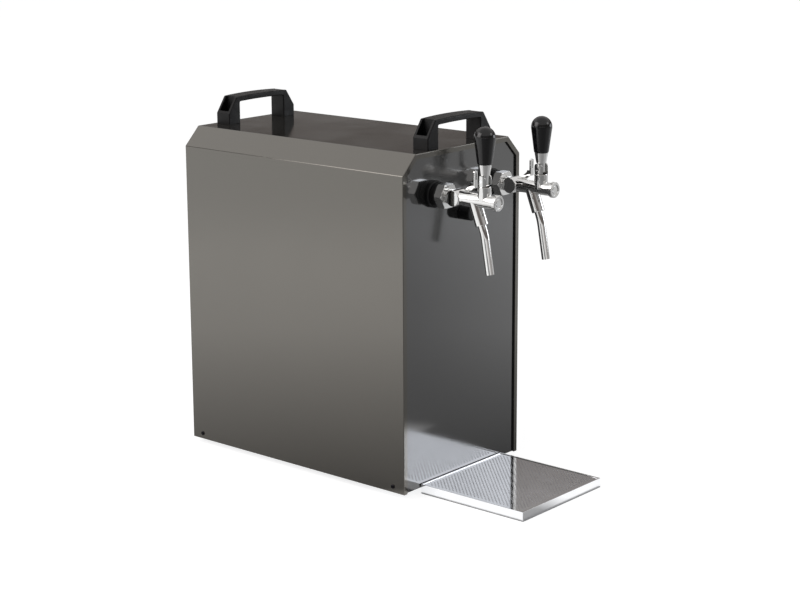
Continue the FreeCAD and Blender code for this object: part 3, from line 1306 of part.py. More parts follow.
def valve_plunger(side):
    """Plunger in the barrel that opens the way to the spout."""
    start = tap_point(side, barrel_bore_end() - PLUNGER_FRONT_GAP)
    rear_land = PLUNGER_LENGTH - PLUNGER_LAND
    profile = [(0, 0), (0, PLUNGER_RADIUS), (PLUNGER_LAND, PLUNGER_RADIUS), (PLUNGER_LAND, PLUNGER_WAIST),
               (rear_land, PLUNGER_WAIST), (rear_land, PLUNGER_RADIUS),
               (PLUNGER_LENGTH, PLUNGER_RADIUS), (PLUNGER_LENGTH, 0)]
    return turned(profile, start, Y)


def compensator_cone(side):
    """Cone in the barrel's rear half that throttles the flow."""
    start = tap_point(side, TAIL_START + CONE_REAR_GAP)
    profile = [(0, 0), (0, CONE_TIP_RADIUS), (CONE_LENGTH, PLUNGER_RADIUS), (CONE_LENGTH, 0)]
    return turned(profile, start, Y * -1)


# ---------------------------------------------------------------- rear fittings
def inlet_fitting(side):
    """Bulkhead fitting: flange on the panel, stem outside for a push-on line."""
    start = V(side * TAP_X, REAR_PANEL_OUT, BEER_LINE_Z)
    end = FITTING_THICK + STEM_LENGTH
    outside = turned([(0, 0), (0, FITTING_RADIUS), (FITTING_THICK - FITTING_EDGE, FITTING_RADIUS),
                      (FITTING_THICK, FITTING_RADIUS - FITTING_EDGE), (FITTING_THICK, STEM_RADIUS),
                      (end - FITTING_EDGE, STEM_RADIUS), (end, STEM_RADIUS - FITTING_EDGE), (end, 0)],
                     start, Y)
    inside = rod(start, V(start.x, REAR_PANEL_IN, start.z), STEM_RADIUS)
    nut = chamfered_nut(V(start.x, REAR_PANEL_IN, start.z), 2 * FITTING_RADIUS, FITTING_THICK)
    bore = rod(start - Y * (2 * FITTING_THICK), start + Y * (end + 1), FITTING_BORE)
    return joined([outside, inside, nut]).cut(bore)


def power_inlet():
    """Inlet module: flange outside, socket with three contacts, and the rocker's well."""
    half = MODULE_WIDTH / 2
    tall = MODULE_TALL / 2
    face = REAR_PANEL_OUT + MODULE_FLANGE
    flange = block(MODULE_X - half, MODULE_X + half, REAR_PANEL_OUT, face, MODULE_Z - tall, MODULE_Z + tall)
    flange = rounded(flange, MODULE_CORNER, lambda e: runs_along(e, Y))
    wide = half - MODULE_BODY_MARGIN
    high = tall - MODULE_BODY_MARGIN
    body = block(MODULE_X - wide, MODULE_X + wide, REAR_PANEL_OUT - MODULE_DEPTH, REAR_PANEL_OUT,
                 MODULE_Z - high, MODULE_Z + high)
    socket_z = MODULE_Z - SOCKET_DROP
    socket_back = face - SOCKET_DEPTH
    socket = block(MODULE_X - SOCKET_WIDTH / 2, MODULE_X + SOCKET_WIDTH / 2, socket_back, face + 1,
                   socket_z - SOCKET_TALL / 2, socket_z + SOCKET_TALL / 2)
    rocker_z = MODULE_Z + ROCKER_RISE
    well_half = ROCKER_WIDTH / 2 + SWING_GAP
    well_tall = ROCKER_TALL / 2 + 2 * SWING_GAP
    well = block(MODULE_X - well_half, MODULE_X + well_half, face - ROCKER_DEPTH - ROCKER_ROOM, face + 1,
                 rocker_z - well_tall, rocker_z + well_tall)
    contacts = []
    for i in (-1, 0, 1):
        x = MODULE_X + i * CONTACT_PITCH
        z = socket_z + (CONTACT_STAGGER if i == 0 else -CONTACT_STAGGER)
        contacts.append(block(x - CONTACT_WIDTH / 2, x + CONTACT_WIDTH / 2, socket_back - 1,
                              socket_back + CONTACT_LENGTH, z - CONTACT_TALL / 2, z + CONTACT_TALL / 2))
    return joined([joined([flange, body]).cut([socket, well, trunnions(SEAT_GAP)])] + contacts)


def rocker_pivot():
    """Axis of the rocker, on the module's face."""
    return V(MODULE_X, REAR_PANEL_OUT + MODULE_FLANGE - ROCKER_PIVOT, MODULE_Z + ROCKER_RISE)


def trunnions(gap):
    """Pins on both sides of the rocker that it tips about, larger by the gap where it is a hole."""
    reach = X * (ROCKER_WIDTH / 2 + TRUNNION_LENGTH + gap)
    return rod(rocker_pivot() - reach, rocker_pivot() + reach, TRUNNION_RADIUS + gap)


def rocker_switch():
    """Rocker that stands tipped: one half proud, the other pressed in."""
    pivot = rocker_pivot()
    tall = ROCKER_TALL / 2
    heel = ROCKER_PIVOT - ROCKER_DEPTH
    outline = [(ROCKER_TIP, tall), (ROCKER_SAG, 0), (ROCKER_TIP, -tall), (-ROCKER_SKIRT, -tall),
               (heel, -ROCKER_HEEL), (heel, ROCKER_HEEL), (-ROCKER_SKIRT, tall)]
    side = pivot - X * (ROCKER_WIDTH / 2)
    rocker = prism([side + V(0, out, up) for out, up in outline], X * ROCKER_WIDTH)
    rocker.rotate(pivot, X, -ROCKER_TILT)
    return joined([rocker, trunnions(0)])


# ---------------------------------------------------------------- drip tray
def drip_tray():
    """Folded pan with a ledge for the grille."""
    half = TRAY_WIDTH / 2
    outside = block(-half, half, TRAY_FRONT, TRAY_BACK, 0, TRAY_HEIGHT)
    outside = rounded(outside, TRAY_CORNER, lambda e: runs_along(e, Z))
    openings = []
    for rim, low in ((TRAY_WALL, GRILLE_LOW - SEAT_GAP), (TRAY_WALL + TRAY_LEDGE, TRAY_SHEET)):
        x = half - rim
        openings.append(block(-x, x, TRAY_FRONT + rim, TRAY_BACK - rim, low, TRAY_HEIGHT + 1))
    return outside.cut(openings)


def drip_grille():
    """Perforated sheet with staggered rows of holes."""
    rim = TRAY_WALL + FIT_GAP
    half = TRAY_WIDTH / 2 - rim
    y0 = TRAY_FRONT + rim
    y1 = TRAY_BACK - rim
    corners = [V(-half, y0, GRILLE_LOW), V(half, y0, GRILLE_LOW), V(half, y1, GRILLE_LOW),
               V(-half, y1, GRILLE_LOW)]
    border = Part.makePolygon(corners + [corners[0]])
    inner = half - HOLE_MARGIN
    depth = (y1 - y0) / 2 - HOLE_MARGIN
    row_pitch = HOLE_PITCH * math.sqrt(3) / 2
    rows = int(depth / row_pitch)
    middle = (y0 + y1) / 2
    holes = []
    for row in range(-rows, rows + 1):
        staggered = row % 2
        shift = staggered * HOLE_PITCH / 2
        count = int((inner - shift) / HOLE_PITCH)
        for column in range(-count - staggered, count + 1):
            centre = V(column * HOLE_PITCH + shift, middle + row * row_pitch, GRILLE_LOW)
            holes.append(Part.Wire(Part.makeCircle(HOLE_RADIUS, centre, Z)))
    return Part.Face([border] + holes).extrude(Z * GRILLE_SHEET)


# ---------------------------------------------------------------- every node
def build():
    """Write every node's file, named as the function that makes it."""
    os.makedirs("parts", exist_ok=True)
    single = [
        cover_shell, front_panel, rear_panel, base_pan, cabinet_screws, rubber_feet, handle_screws,
        inner_frame, insulation_case, insulation_lid, cooling_block, evaporator_tube, compressor_can,
        compressor_motor, compressor_grommets, compressor_bolts, start_relay, condenser_tube,
        condenser_fins, discharge_line, suction_line, filter_drier, capillary_tube, fan_shroud,
        fan_motor, fan_blades, thermostat, thermostat_knob, power_inlet, rocker_switch, drip_tray,
        drip_grille,
    ]
    for make in single:
        save(make.__name__, make())
    handle_y = CABINET_DEPTH / 2 - HANDLE_SETBACK
    save("front_handle", handle(-handle_y))
    save("rear_handle", handle(handle_y))
    paired = [
        beer_coil, shank, shank_flange, coupling_nut, tap_body, spout, tap_lever, lever_grip,
        compensator_lever, valve_plunger, compensator_cone, inlet_fitting,
    ]
    for make in paired:
        for word, side in SIDES.items():
            save(make.__name__ + "_" + word, make(side))
    save("shank_back_nuts", [shank_back_nut(side) for side in SIDES.values()])
    save("lever_pins", [lever_pin(side) for side in SIDES.values()])


build()
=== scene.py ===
import json
import math

import bmesh
import bpy
from bpy.props import FloatProperty, FloatVectorProperty, PointerProperty
from mathutils import Matrix, Vector


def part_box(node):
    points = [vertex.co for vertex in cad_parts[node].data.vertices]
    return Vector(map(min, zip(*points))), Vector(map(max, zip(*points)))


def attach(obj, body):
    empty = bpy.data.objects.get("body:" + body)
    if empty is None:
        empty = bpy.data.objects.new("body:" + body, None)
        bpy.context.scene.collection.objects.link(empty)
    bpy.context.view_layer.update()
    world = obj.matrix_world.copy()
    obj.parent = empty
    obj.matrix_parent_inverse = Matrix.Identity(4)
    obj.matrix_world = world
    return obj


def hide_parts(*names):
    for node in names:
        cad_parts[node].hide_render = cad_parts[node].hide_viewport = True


bl_info = {
    "name": "Two-tap beer cooler",
    "version": (1, 0, 0),
    "blender": (4, 5, 0),
    "location": "3D View > Sidebar > Beer Cooler",
    "description": "Dresses the packed frame of a two-tap beer cooler on a studio stage",
    "category": "Add Mesh",
}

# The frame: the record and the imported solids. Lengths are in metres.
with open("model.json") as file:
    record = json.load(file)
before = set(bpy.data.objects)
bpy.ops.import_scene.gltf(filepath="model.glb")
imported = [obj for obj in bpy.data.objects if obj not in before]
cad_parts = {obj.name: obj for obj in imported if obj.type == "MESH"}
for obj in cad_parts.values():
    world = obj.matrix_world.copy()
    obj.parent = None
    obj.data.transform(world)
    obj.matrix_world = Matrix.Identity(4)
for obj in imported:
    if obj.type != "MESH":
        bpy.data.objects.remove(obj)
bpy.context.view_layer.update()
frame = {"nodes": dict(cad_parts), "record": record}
SIDES = ("left", "right")
X = Vector((1, 0, 0))
Y = Vector((0, 1, 0))
MM = 0.001

# Clean-up of a solid's mesh: points closer than this are one, and flatter folds are none.
WELD = 0.000002
FLAT = math.radians(0.6)
# Two places nearer than this are the same.
SAME = 0.00001
# Angles in degrees: sharper edges than these are shaded sharp, are rounded, are a strip's corners.
SHADED_SHARP = 38
BROKEN = 32
SQUARE = 60

# Level way in which the cover's left side mirrors the camera's view, and the way square to it.
# The front panel mirrors the opposite of the first.
MIRRORED = (-0.76, 0.65, 0)
ASIDE = (0.65, 0.76, 0)


# ---------------------------------------------------------------- colours, nodes and finishes
def linear(text):
    """Linear RGBA of an sRGB hex colour."""
    channels = [int(text[i:i + 2], 16) / 255 for i in (1, 3, 5)]
    return [c / 12.92 if c <= 0.04045 else ((c + 0.055) / 1.055) ** 2.4 for c in channels] + [1.0]


def add_node(tree, kind, values=None, links=None, **settings):
    """Add a node with its settings, its socket values and what runs into it."""
    node = tree.nodes.new(kind)
    for key, value in settings.items():
        setattr(node, key, value)
    for socket, value in (values or {}).items():
        node.inputs[socket].default_value = value
    for socket, source in (links or {}).items():
        tree.links.new(source, node.inputs[socket])
    return node


def per(size_mm):
    """Texture scale at which one feature of a pattern is as large as this."""
    return 1 / (size_mm * MM)


class Finish:
    """A material with one shader, to which patterns are added."""

    def __init__(self, name, values):
        self.material = bpy.data.materials.new(name)
        self.material.use_nodes = True
        self.tree = self.material.node_tree
        self.tree.nodes.clear()
        self.shader = add_node(self.tree, "ShaderNodeBsdfPrincipled", values)
        add_node(self.tree, "ShaderNodeOutputMaterial",
                 links={"Surface": self.shader.outputs["BSDF"]})
        self.place = add_node(self.tree, "ShaderNodeTexCoord").outputs["Object"]

    def clouds(self, size_mm, stretch=(1, 1, 1), detail=2.0):
        """Cloudy pattern, its features as large as stated and stretched along the axes."""
        spot = add_node(self.tree, "ShaderNodeMapping", {"Scale": [1 / s for s in stretch]},
                        {"Vector": self.place})
        cloud = add_node(self.tree, "ShaderNodeTexNoise",
                         {"Scale": per(size_mm), "Detail": detail},
                         {"Vector": spot.outputs["Vector"]})
        return cloud.outputs["Fac"]

    def tint(self, pattern, colour, contrast, start=0.3, end=0.7):
        """Colour the surface, darker and lighter by a share of the colour as the pattern says."""
        dark, light = ([min(1.0, c * factor) for c in colour[:3]] + [1.0]
                       for factor in (1 - contrast, 1 + contrast))
        share = add_node(self.tree, "ShaderNodeMapRange", {"From Min": start, "From Max": end},
                         {"Value": pattern})
        # A mix node's sockets 6 and 7 and its output 2 are its colours.
        mixed = add_node(self.tree, "ShaderNodeMix", {6: dark, 7: light},
                         {0: share.outputs["Result"]}, data_type="RGBA")
        self.tree.links.new(mixed.outputs[2], self.shader.inputs["Base Color"])

    def gloss(self, pattern, low, high, start=0.3, end=0.7):
        """Vary the roughness by a pattern."""
        value = add_node(self.tree, "ShaderNodeMapRange",
                         {"From Min": start, "From Max": end, "To Min": low, "To Max": high},
                         {"Value": pattern})
        self.tree.links.new(value.outputs["Result"], self.shader.inputs["Roughness"])

    def relief(self, pattern, depth_mm, under=None):
        """Raise the surface by a pattern, on top of another relief if one is given."""
        links = {"Height": pattern}
        if under is not None:
            links["Normal"] = under
        bump = add_node(self.tree, "ShaderNodeBump",
                        {"Distance": depth_mm * MM, "Strength": 1.0}, links)
        self.tree.links.new(bump.outputs["Normal"], self.shader.inputs["Normal"])
        return bump.outputs["Normal"]


def stoved_enamel(name, colour):
    """Sheet steel in stoved anthracite enamel: a dark mirror, slightly wavy as rolled sheet is."""
    # The metal flakes mirror more than clear lacquer does, and in the colour's own hue.
    hue = [c / max(colour[:3]) for c in colour[:3]] + [1.0]
    finish = Finish(name, {"Roughness": 0.1, "IOR": 2.2, "Specular Tint": hue})
    finish.tint(finish.clouds(140), colour, 0.06)
    finish.gloss(finish.clouds(60), 0.08, 0.14)
    rolled = finish.relief(finish.clouds(90, detail=0), 0.12)
    # Fine orange peel, really 0.5 mm across, drawn at 1.2 mm to show.
    finish.relief(finish.clouds(1.2, detail=1), 0.002, rolled)
    return finish.material


def moulded_polyamide(name, colour):
    """Glass-filled nylon from an eroded mould: dull black with a fine even grain."""
    finish = Finish(name, {"Roughness": 0.42, "IOR": 1.53, "Specular IOR Level": 0.2})
    finish.tint(finish.clouds(14), colour, 0.2)
    finish.gloss(finish.clouds(9), 0.36, 0.5)
    # The grain of the mould is 0.2 mm; it is drawn at 0.7 mm to show.
    finish.relief(finish.clouds(0.7, detail=1), 0.02)
    return finish.material


def polished_phenolic(name, colour):
    """Pressed phenolic resin, buffed: deep black with a clear gloss and a soft ripple."""
    finish = Finish(name, {"Roughness": 0.14, "IOR": 1.45, "Coat Weight": 0.1,
                           "Coat Roughness": 0.05})
    finish.tint(finish.clouds(8), colour, 0.2)
    finish.gloss(finish.clouds(3), 0.12, 0.22)
    finish.relief(finish.clouds(11, detail=0), 0.04)
    return finish.material


def chromed_brass(name, colour):
    """Polished brass casting, chromium plated: a mirror with a little ripple and buffing haze."""
    finish = Finish(name, {"Metallic": 1.0, "Roughness": 0.05})
    finish.tint(finish.clouds(6), colour, 0.03)
    finish.gloss(finish.clouds(0.8, (1, 6, 1)), 0.03, 0.08)
    finish.relief(finish.clouds(9, detail=0), 0.02)
    return finish.material


def bright_stainless(name, colour):
    """Bright annealed stainless sheet: mirror-like, with the rolling's fine lines one way."""
    finish = Finish(name, {"Metallic": 1.0, "Roughness": 0.07})
    finish.tint(finish.clouds(30), colour, 0.03)
    # Rolling lines are 0.05 mm apart; they are drawn at 0.5 mm to show.
    lines = finish.clouds(0.5, (1, 60, 1))
    finish.gloss(lines, 0.05, 0.1)
    finish.relief(lines, 0.0006)
    return finish.material


def galvanised_steel(name, colour):
    """Hot-dip galvanised sheet: grey with flat crystals of zinc, each of its own shade."""
    finish = Finish(name, {"Metallic": 1.0, "Roughness": 0.4})
    crystals = add_node(finish.tree, "ShaderNodeTexVoronoi", {"Scale": per(9)},
                        {"Vector": finish.place})
    shades = add_node(finish.tree, "ShaderNodeSeparateColor", links={0: crystals.outputs["Color"]})
    finish.tint(shades.outputs[0], colour, 0.22, 0, 1)
    finish.gloss(shades.outputs[1], 0.3, 0.55, 0, 1)
    finish.relief(finish.clouds(2.5), 0.01)
    return finish.material


def blackened_steel(name, colour):
    """Black zinc on steel fasteners: dark metal with a slight sheen."""
    finish = Finish(name, {"Metallic": 1.0, "Roughness": 0.35})
    finish.tint(finish.clouds(1.5), colour, 0.35)
    finish.gloss(finish.clouds(0.6), 0.28, 0.45)
    finish.relief(finish.clouds(0.5, detail=1), 0.01)
    return finish.material


def vulcanised_rubber(name, colour):
    """Black rubber from a mould: dull, dusty in its pores."""
    finish = Finish(name, {"Roughness": 0.75, "IOR": 1.52, "Specular IOR Level": 0.3})
    finish.tint(finish.clouds(5, detail=4), colour, 0.3)
    finish.gloss(finish.clouds(2), 0.65, 0.85)
    finish.relief(finish.clouds(0.6), 0.02)
    return finish.material


def bead_foam(name, colour):
    """Expanded polystyrene: off-white beads pressed together."""
    finish = Finish(name, {"Roughness": 0.85, "IOR": 1.3, "Subsurface Weight": 0.1})
    beads = add_node(finish.tree, "ShaderNodeTexVoronoi", {"Scale": per(3.2)},
                     {"Vector": finish.place})
    # Painted shade: each bead is coloured darker towards its edge, where the relief sinks into a
    # crease.
    finish.tint(beads.outputs["Distance"], colour, -0.14, 0.2, 0.6)
    finish.relief(beads.outputs["Distance"], -0.25)
    return finish.material


def cast_aluminium(name, colour):
    """Sand-cast aluminium: dull silver with the sand's grain."""
    finish = Finish(name, {"Metallic": 1.0, "Roughness": 0.5})
    finish.tint(finish.clouds(12, detail=5), colour, 0.12)
    finish.gloss(finish.clouds(4), 0.42, 0.6)
    finish.relief(finish.clouds(0.9, detail=4), 0.06)
    return finish.material


def drawn_copper(name, colour):
    """Drawn copper tube: warm metal with darker bands of tarnish."""
    finish = Finish(name, {"Metallic": 1.0, "Roughness": 0.28})
    finish.tint(finish.clouds(22, detail=4), colour, 0.25)
    finish.gloss(finish.clouds(7), 0.2, 0.42)
    finish.relief(finish.clouds(3), 0.01)
    return finish.material


def moulded_resin(name, colour):
    """White engineering plastic: slightly translucent, with a soft sheen."""
    finish = Finish(name, {"Roughness": 0.38, "IOR": 1.5, "Subsurface Weight": 0.06,
                           "Subsurface Radius": (0.002, 0.002, 0.002)})
    finish.tint(finish.clouds(18), colour, 0.05)
    finish.gloss(finish.clouds(6), 0.32, 0.45)
    finish.relief(finish.clouds(0.8, detail=1), 0.01)
    return finish.material


def dipped_enamel(name, colour):
    """Black dip enamel on the compressor's can: semi-gloss with sags and peel."""
    finish = Finish(name, {"Roughness": 0.3, "IOR": 1.55, "Coat Weight": 0.4,
                           "Coat Roughness": 0.15})
    finish.tint(finish.clouds(40), colour, 0.2)
    finish.gloss(finish.clouds(12), 0.24, 0.4)
    finish.relief(finish.clouds(3, detail=1), 0.03)
    return finish.material


# ---------------------------------------------------------------- settings
def colour(name, description, text):
    """Colour setting with an sRGB hex colour as its default."""
    return FloatVectorProperty(name=name, description=description, subtype="COLOR", size=4,
                               min=0, max=1, default=linear(text))


class CoolerColours(bpy.types.PropertyGroup):
    """Main colour of each finish, named as the record's material slots are."""

    cover_paint: colour("Cover paint", "Enamel of the cover and the rear panel", "#262523")
    panel_paint: colour("Panel paint", "Enamel of the front panel", "#252525")
    black_plastic: colour("Black plastic", "Handles, flanges, knob and fan", "#0b0b0c")
    grip_plastic: colour("Grip plastic", "Tap grips and the rocker", "#08080a")
    chrome: colour("Chrome", "Plating of the taps", "#dededd")
    stainless: colour("Stainless", "Tray, grille, shanks and beer coils", "#f1f2f4")
    zinc_steel: colour("Zinc", "Galvanised sheet of the frame and the pan", "#a1a4a8")
    black_steel: colour("Black steel", "Cabinet and handle screws", "#232326")
    compressor_paint: colour("Compressor paint", "Enamel of the compressor's can", "#111113")
    # Rubber also colours the black strip that makes the gap beside the front panel black.
    rubber: colour("Rubber", "Feet, grommets and the edge seal", "#151515")
    foam: colour("Foam", "Insulation of the cooling block", "#dbd9d1")
    aluminium: colour("Aluminium", "Cooling block and condenser fins", "#b0b2b4")
    copper: colour("Copper", "Refrigerant tubes", "#c27c5a")
    white_plastic: colour("White plastic", "Thermostat, relay and flow cones", "#e4e2dc")


class CoolerSizes(bpy.types.PropertyGroup):
    """Sizes of the details that the frame leaves open."""

    sheet_edge: FloatProperty(name="Sheet edge", description="Rounding of cut sheet edges",
                              default=0.00035, min=0.00005, max=0.001, precision=5, unit="LENGTH")
    chrome_edge: FloatProperty(name="Chrome edge", description="Rounding of the chromed edges",
                               default=0.0003, min=0.00005, max=0.0006, precision=5, unit="LENGTH")
    moulded_edge: FloatProperty(name="Moulded edge", description="Rounding of the moulded edges",
                                default=0.0005, min=0.00005, max=0.001, precision=5, unit="LENGTH")
    rim_fold: FloatProperty(name="Rim fold", description="Rounding of the cover's two rims",
                            default=0.001, min=0.0002, max=0.0011, precision=5, unit="LENGTH")
    lip_width: FloatProperty(name="Lip width", description="Cover's frame round the panel",
                             default=0.007, min=0.002, max=0.02, precision=5, unit="LENGTH")
    # Width, inset and lift of the black strip that makes the gap between the cover's lip and the
    # front panel black.
    seal_width: FloatProperty(name="Seal width", description="Edge seal between cover and panel",
                              default=0.0006, min=0.0003, max=0.003, precision=5, unit="LENGTH")
    seal_inset: FloatProperty(name="Seal inset", description="Edge seal behind the cover's rim",
                              default=0.0009, min=0.0001, max=0.002, precision=5, unit="LENGTH")
    seal_lift: FloatProperty(name="Seal lift", description="Edge seal above the cover's foot",
                             default=0.0008, min=0.0001, max=0.002, precision=5, unit="LENGTH")
    bevel_width: FloatProperty(name="Bevel", description="Width and height of the cover's bevels",
                               default=0.025, min=0.01, max=0.05, precision=5, unit="LENGTH")
    hole_pitch: FloatProperty(name="Hole pitch", description="Between the grille's holes",
                              default=0.00415, min=0.003, max=0.01, precision=5, unit="LENGTH")
    hole_radius: FloatProperty(name="Hole radius", description="Radius of the grille's holes",
                               default=0.0013, min=0.0005, max=0.003, precision=5, unit="LENGTH")
    hole_taper: FloatProperty(name="Hole taper", description="Share of its width a hole loses",
                              default=0.13, min=0, max=0.5, precision=3)
    grille_border: FloatProperty(name="Grille border", description="Plain sheet round the holes",
                                 default=0.0025, min=0.001, max=0.01, precision=5, unit="LENGTH")


class CoolerStage(bpy.types.PropertyGroup):
    """Camera of the stage."""

    focal_length: FloatProperty(name="Lens", description="Focal length", default=84.684, min=10)
    camera_place: FloatVectorProperty(name="Camera", description="Where the camera stands",
                                      default=(-1.8649, -1.68023, 0.82582), subtype="TRANSLATION",
                                      unit="LENGTH")
    camera_turn: FloatVectorProperty(name="Camera turn", description="Azimuth, tilt and roll",
                                     default=(math.radians(-49.5004), math.radians(77.4761),
                                              math.radians(-0.2654)), subtype="EULER")
    camera_shift: FloatProperty(name="Shift", description="Upward shift of the frame",
                                default=-0.05)


# Maker of each of the record's slots
FINISHES = {"cover_paint": stoved_enamel, "panel_paint": stoved_enamel,
            "black_plastic": moulded_polyamide, "grip_plastic": polished_phenolic,
            "chrome": chromed_brass, "stainless": bright_stainless,
            "zinc_steel": galvanised_steel, "black_steel": blackened_steel,
            "compressor_paint": dipped_enamel, "rubber": vulcanised_rubber, "foam": bead_foam,
            "aluminium": cast_aluminium, "copper": drawn_copper, "white_plastic": moulded_resin}


def finish_of(slot):
    """The material of one of the record's slots, made at its first use."""
    maker = FINISHES[slot]
    name = maker.__name__ + "_" + slot
    if name not in bpy.data.materials:
        maker(name, getattr(bpy.context.scene.cooler_colours, slot))
    return bpy.data.materials[name]


# ---------------------------------------------------------------- meshes and pieces
# The body that each node belongs to, and the record's slot that its finish has
BODY = {node: body for body, nodes in frame["record"]["behaviour"]["bodies"].items()
        for node in nodes}
SLOT = {entry["node"]: entry["material_slot"] for entry in frame["record"]["subparts"]}


def sharp_edges(bm, degrees):
    """Edges whose two faces meet at more than an angle."""
    limit = math.radians(degrees)
    return [e for e in bm.edges if e.is_manifold and e.calc_face_angle() > limit]


def piece_from(bm, name, slot, body, *nodes):
    """Finish a bmesh as an object that rides on its body: smooth, but sharp at real edges."""
    for face in bm.faces:
        face.smooth = True
    for edge in sharp_edges(bm, SHADED_SHARP):
        edge.smooth = False
    bm.normal_update()
    mesh = bpy.data.meshes.new(name)
    bm.to_mesh(mesh)
    bm.free()
    piece = bpy.data.objects.new(name, mesh)
    bpy.context.scene.collection.objects.link(piece)
    mesh.materials.append(finish_of(slot))
    even = piece.modifiers.new("even_shading", "WEIGHTED_NORMAL")
    even.keep_sharp = True
    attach(piece, body)
    if nodes:
        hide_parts(*nodes)


def round_edges(bm, edges, size, segments=2):
    """Round some of a mesh's edges by a size."""
    bmesh.ops.bevel(bm, geom=edges, offset=size, offset_type="OFFSET", segments=segments,
                    profile=0.5, affect="EDGES", clamp_overlap=True, material=-1)


def soften(node, name, edge_size, folds=None, fold_size=0):
    """Make a piece of a node's shape, its sharp edges broken and its chosen folds rounded."""
    bm = bmesh.new()
    bm.from_mesh(frame["nodes"][node].data)
    bmesh.ops.remove_doubles(bm, verts=bm.verts, dist=WELD)
    bmesh.ops.dissolve_limit(bm, angle_limit=FLAT, verts=bm.verts, edges=bm.edges)
    if folds:
        round_edges(bm, [e for e in sharp_edges(bm, BROKEN) if folds(e)], fold_size, segments=3)
    round_edges(bm, sharp_edges(bm, BROKEN), edge_size)
    piece_from(bm, name, SLOT[node], BODY[node], node)


class COOLER_OT_cabinet(bpy.types.Operator):
    """Dress the folded cover, both panels, the black strip in the gap beside the front panel, the
    screws and the feet
    """

    bl_idname = "cooler.cabinet"
    bl_label = "Cabinet"

    def execute(self, context):
        sizes = context.scene.cooler_sizes
        soften("cover_shell", "cover", sizes.sheet_edge, on_rim, sizes.rim_fold)
        soften("front_panel", "front_sheet", sizes.sheet_edge)
        soften("rear_panel", "rear_sheet", sizes.sheet_edge)
        soften("cabinet_screws", "side_screws", sizes.sheet_edge / 2)
        soften("rubber_feet", "round_feet", sizes.moulded_edge)
        edge_seal(sizes)
        return {"FINISHED"}


def on_rim(edge):
    """True for an edge of the cover's outer face at its front or its rear end."""
    low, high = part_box("cover_shell")
    bevel = bpy.context.scene.cooler_sizes.bevel_width
    for vert in edge.verts:
        x, y, z = abs(vert.co.x), vert.co.y, vert.co.z
        inside = -max(x - high.x, z - high.z, (x + z - high.x - high.z + bevel) / math.sqrt(2))
        if inside > MM or min(abs(y - low.y), abs(y - high.y)) > SAME:
            return False
    return True


def edge_seal(sizes):
    """Black rubber strip that makes the gap between the cover's lip and the front panel black, up
    and over the bevels.
    """
    low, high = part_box("cover_shell")
    front = low.y + sizes.seal_inset
    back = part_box("front_panel")[0].y
    foot = low.z + sizes.seal_lift
    outer, inner = sizes.lip_width, sizes.lip_width + sizes.seal_width
    # An outline set in by a distance has its bevel's ends shifted by this share of it.
    slant = math.tan(math.pi / 8)
    bm = bmesh.new()
    for way in (-1, 1):
        wall = [high.x - d for d in (outer, inner)]
        shoulder = [high.z - sizes.bevel_width - d * slant for d in (outer, inner)]
        top_x = [high.x - sizes.bevel_width - d * slant for d in (outer, inner)]
        corners = (((way * wall[0], foot), (way * wall[1], foot)),
                   ((way * wall[0], shoulder[0]), (way * wall[1], shoulder[1])),
                   ((way * top_x[0], high.z - outer), (way * top_x[1], high.z - inner)))
        (outer_x, outer_z), (inner_x, inner_z) = corners[0]
        start = ((outer_x, front, outer_z), (inner_x, front, inner_z),
                 (inner_x, back, inner_z), (outer_x, back, outer_z))
        face = bm.faces.new([bm.verts.new(place) for place in start])
        for outside, inside in corners[1:]:
            grown = bmesh.ops.extrude_face_region(bm, geom=[face])["geom"]
            bm.faces.remove(face)
            face = next(g for g in grown if isinstance(g, bmesh.types.BMFace))
            for vert in face.verts:
                near = abs(abs(vert.co.x) - wall[0]) < abs(abs(vert.co.x) - wall[1])
                vert.co.x, vert.co.z = outside if near else inside
            wall = [abs(outside[0]), abs(inside[0])]
    bmesh.ops.holes_fill(bm, edges=bm.edges, sides=4)
    bmesh.ops.recalc_face_normals(bm, faces=bm.faces)
    round_edges(bm, sharp_edges(bm, SQUARE), sizes.seal_width / 6)
    piece_from(bm, "edge_seal", "rubber", "cabinet")


class COOLER_OT_handles(bpy.types.Operator):
    """Dress the two bridge handles and their screws"""

    bl_idname = "cooler.handles"
    bl_label = "Handles"

    def execute(self, context):
        sizes = context.scene.cooler_sizes
        for end in ("front", "rear"):
            soften(end + "_handle", end + "_bridge", sizes.moulded_edge)
        soften("handle_screws", "socket_screws", sizes.sheet_edge / 2)
        return {"FINISHED"}


class COOLER_OT_taps(bpy.types.Operator):
    """Dress both taps with their nuts, flanges, spouts, levers and grips"""

    bl_idname = "cooler.taps"
    bl_label = "Taps"

    def execute(self, context):
        sizes = context.scene.cooler_sizes
        for side in SIDES:
            for node, name in (("tap_body", "chromed_barrel"), ("coupling_nut", "chromed_nut"),
                               ("spout", "chromed_spout"), ("tap_lever", "chromed_lever"),
                               ("compensator_lever", "thumb_lever")):
                soften(node + "_" + side, name + "_" + side, sizes.chrome_edge)
            soften("shank_flange_" + side, "wall_flange_" + side, sizes.moulded_edge)
            soften("lever_grip_" + side, "grip_" + side, sizes.moulded_edge)
        return {"FINISHED"}


class COOLER_OT_controls(bpy.types.Operator):
    """Dress the thermostat's knob, the power inlet, its rocker and the beer inlets"""

    bl_idname = "cooler.controls"
    bl_label = "Controls and inlets"

    def execute(self, context):
        sizes = context.scene.cooler_sizes
        soften("thermostat_knob", "knob", sizes.moulded_edge)
        soften("power_inlet", "inlet_socket", sizes.moulded_edge / 2)
        soften("rocker_switch", "rocker", sizes.moulded_edge)
        for side in SIDES:
            soften("inlet_fitting_" + side, "beer_inlet_" + side, sizes.chrome_edge)
        return {"FINISHED"}


class COOLER_OT_drip_tray(bpy.types.Operator):
    """Dress the drip tray and perforate its grille"""

    bl_idname = "cooler.drip_tray"
    bl_label = "Drip tray"

    def execute(self, context):
        sizes = context.scene.cooler_sizes
        soften("drip_tray", "tray_pan", sizes.sheet_edge)
        perforated_grille(sizes)
        return {"FINISHED"}


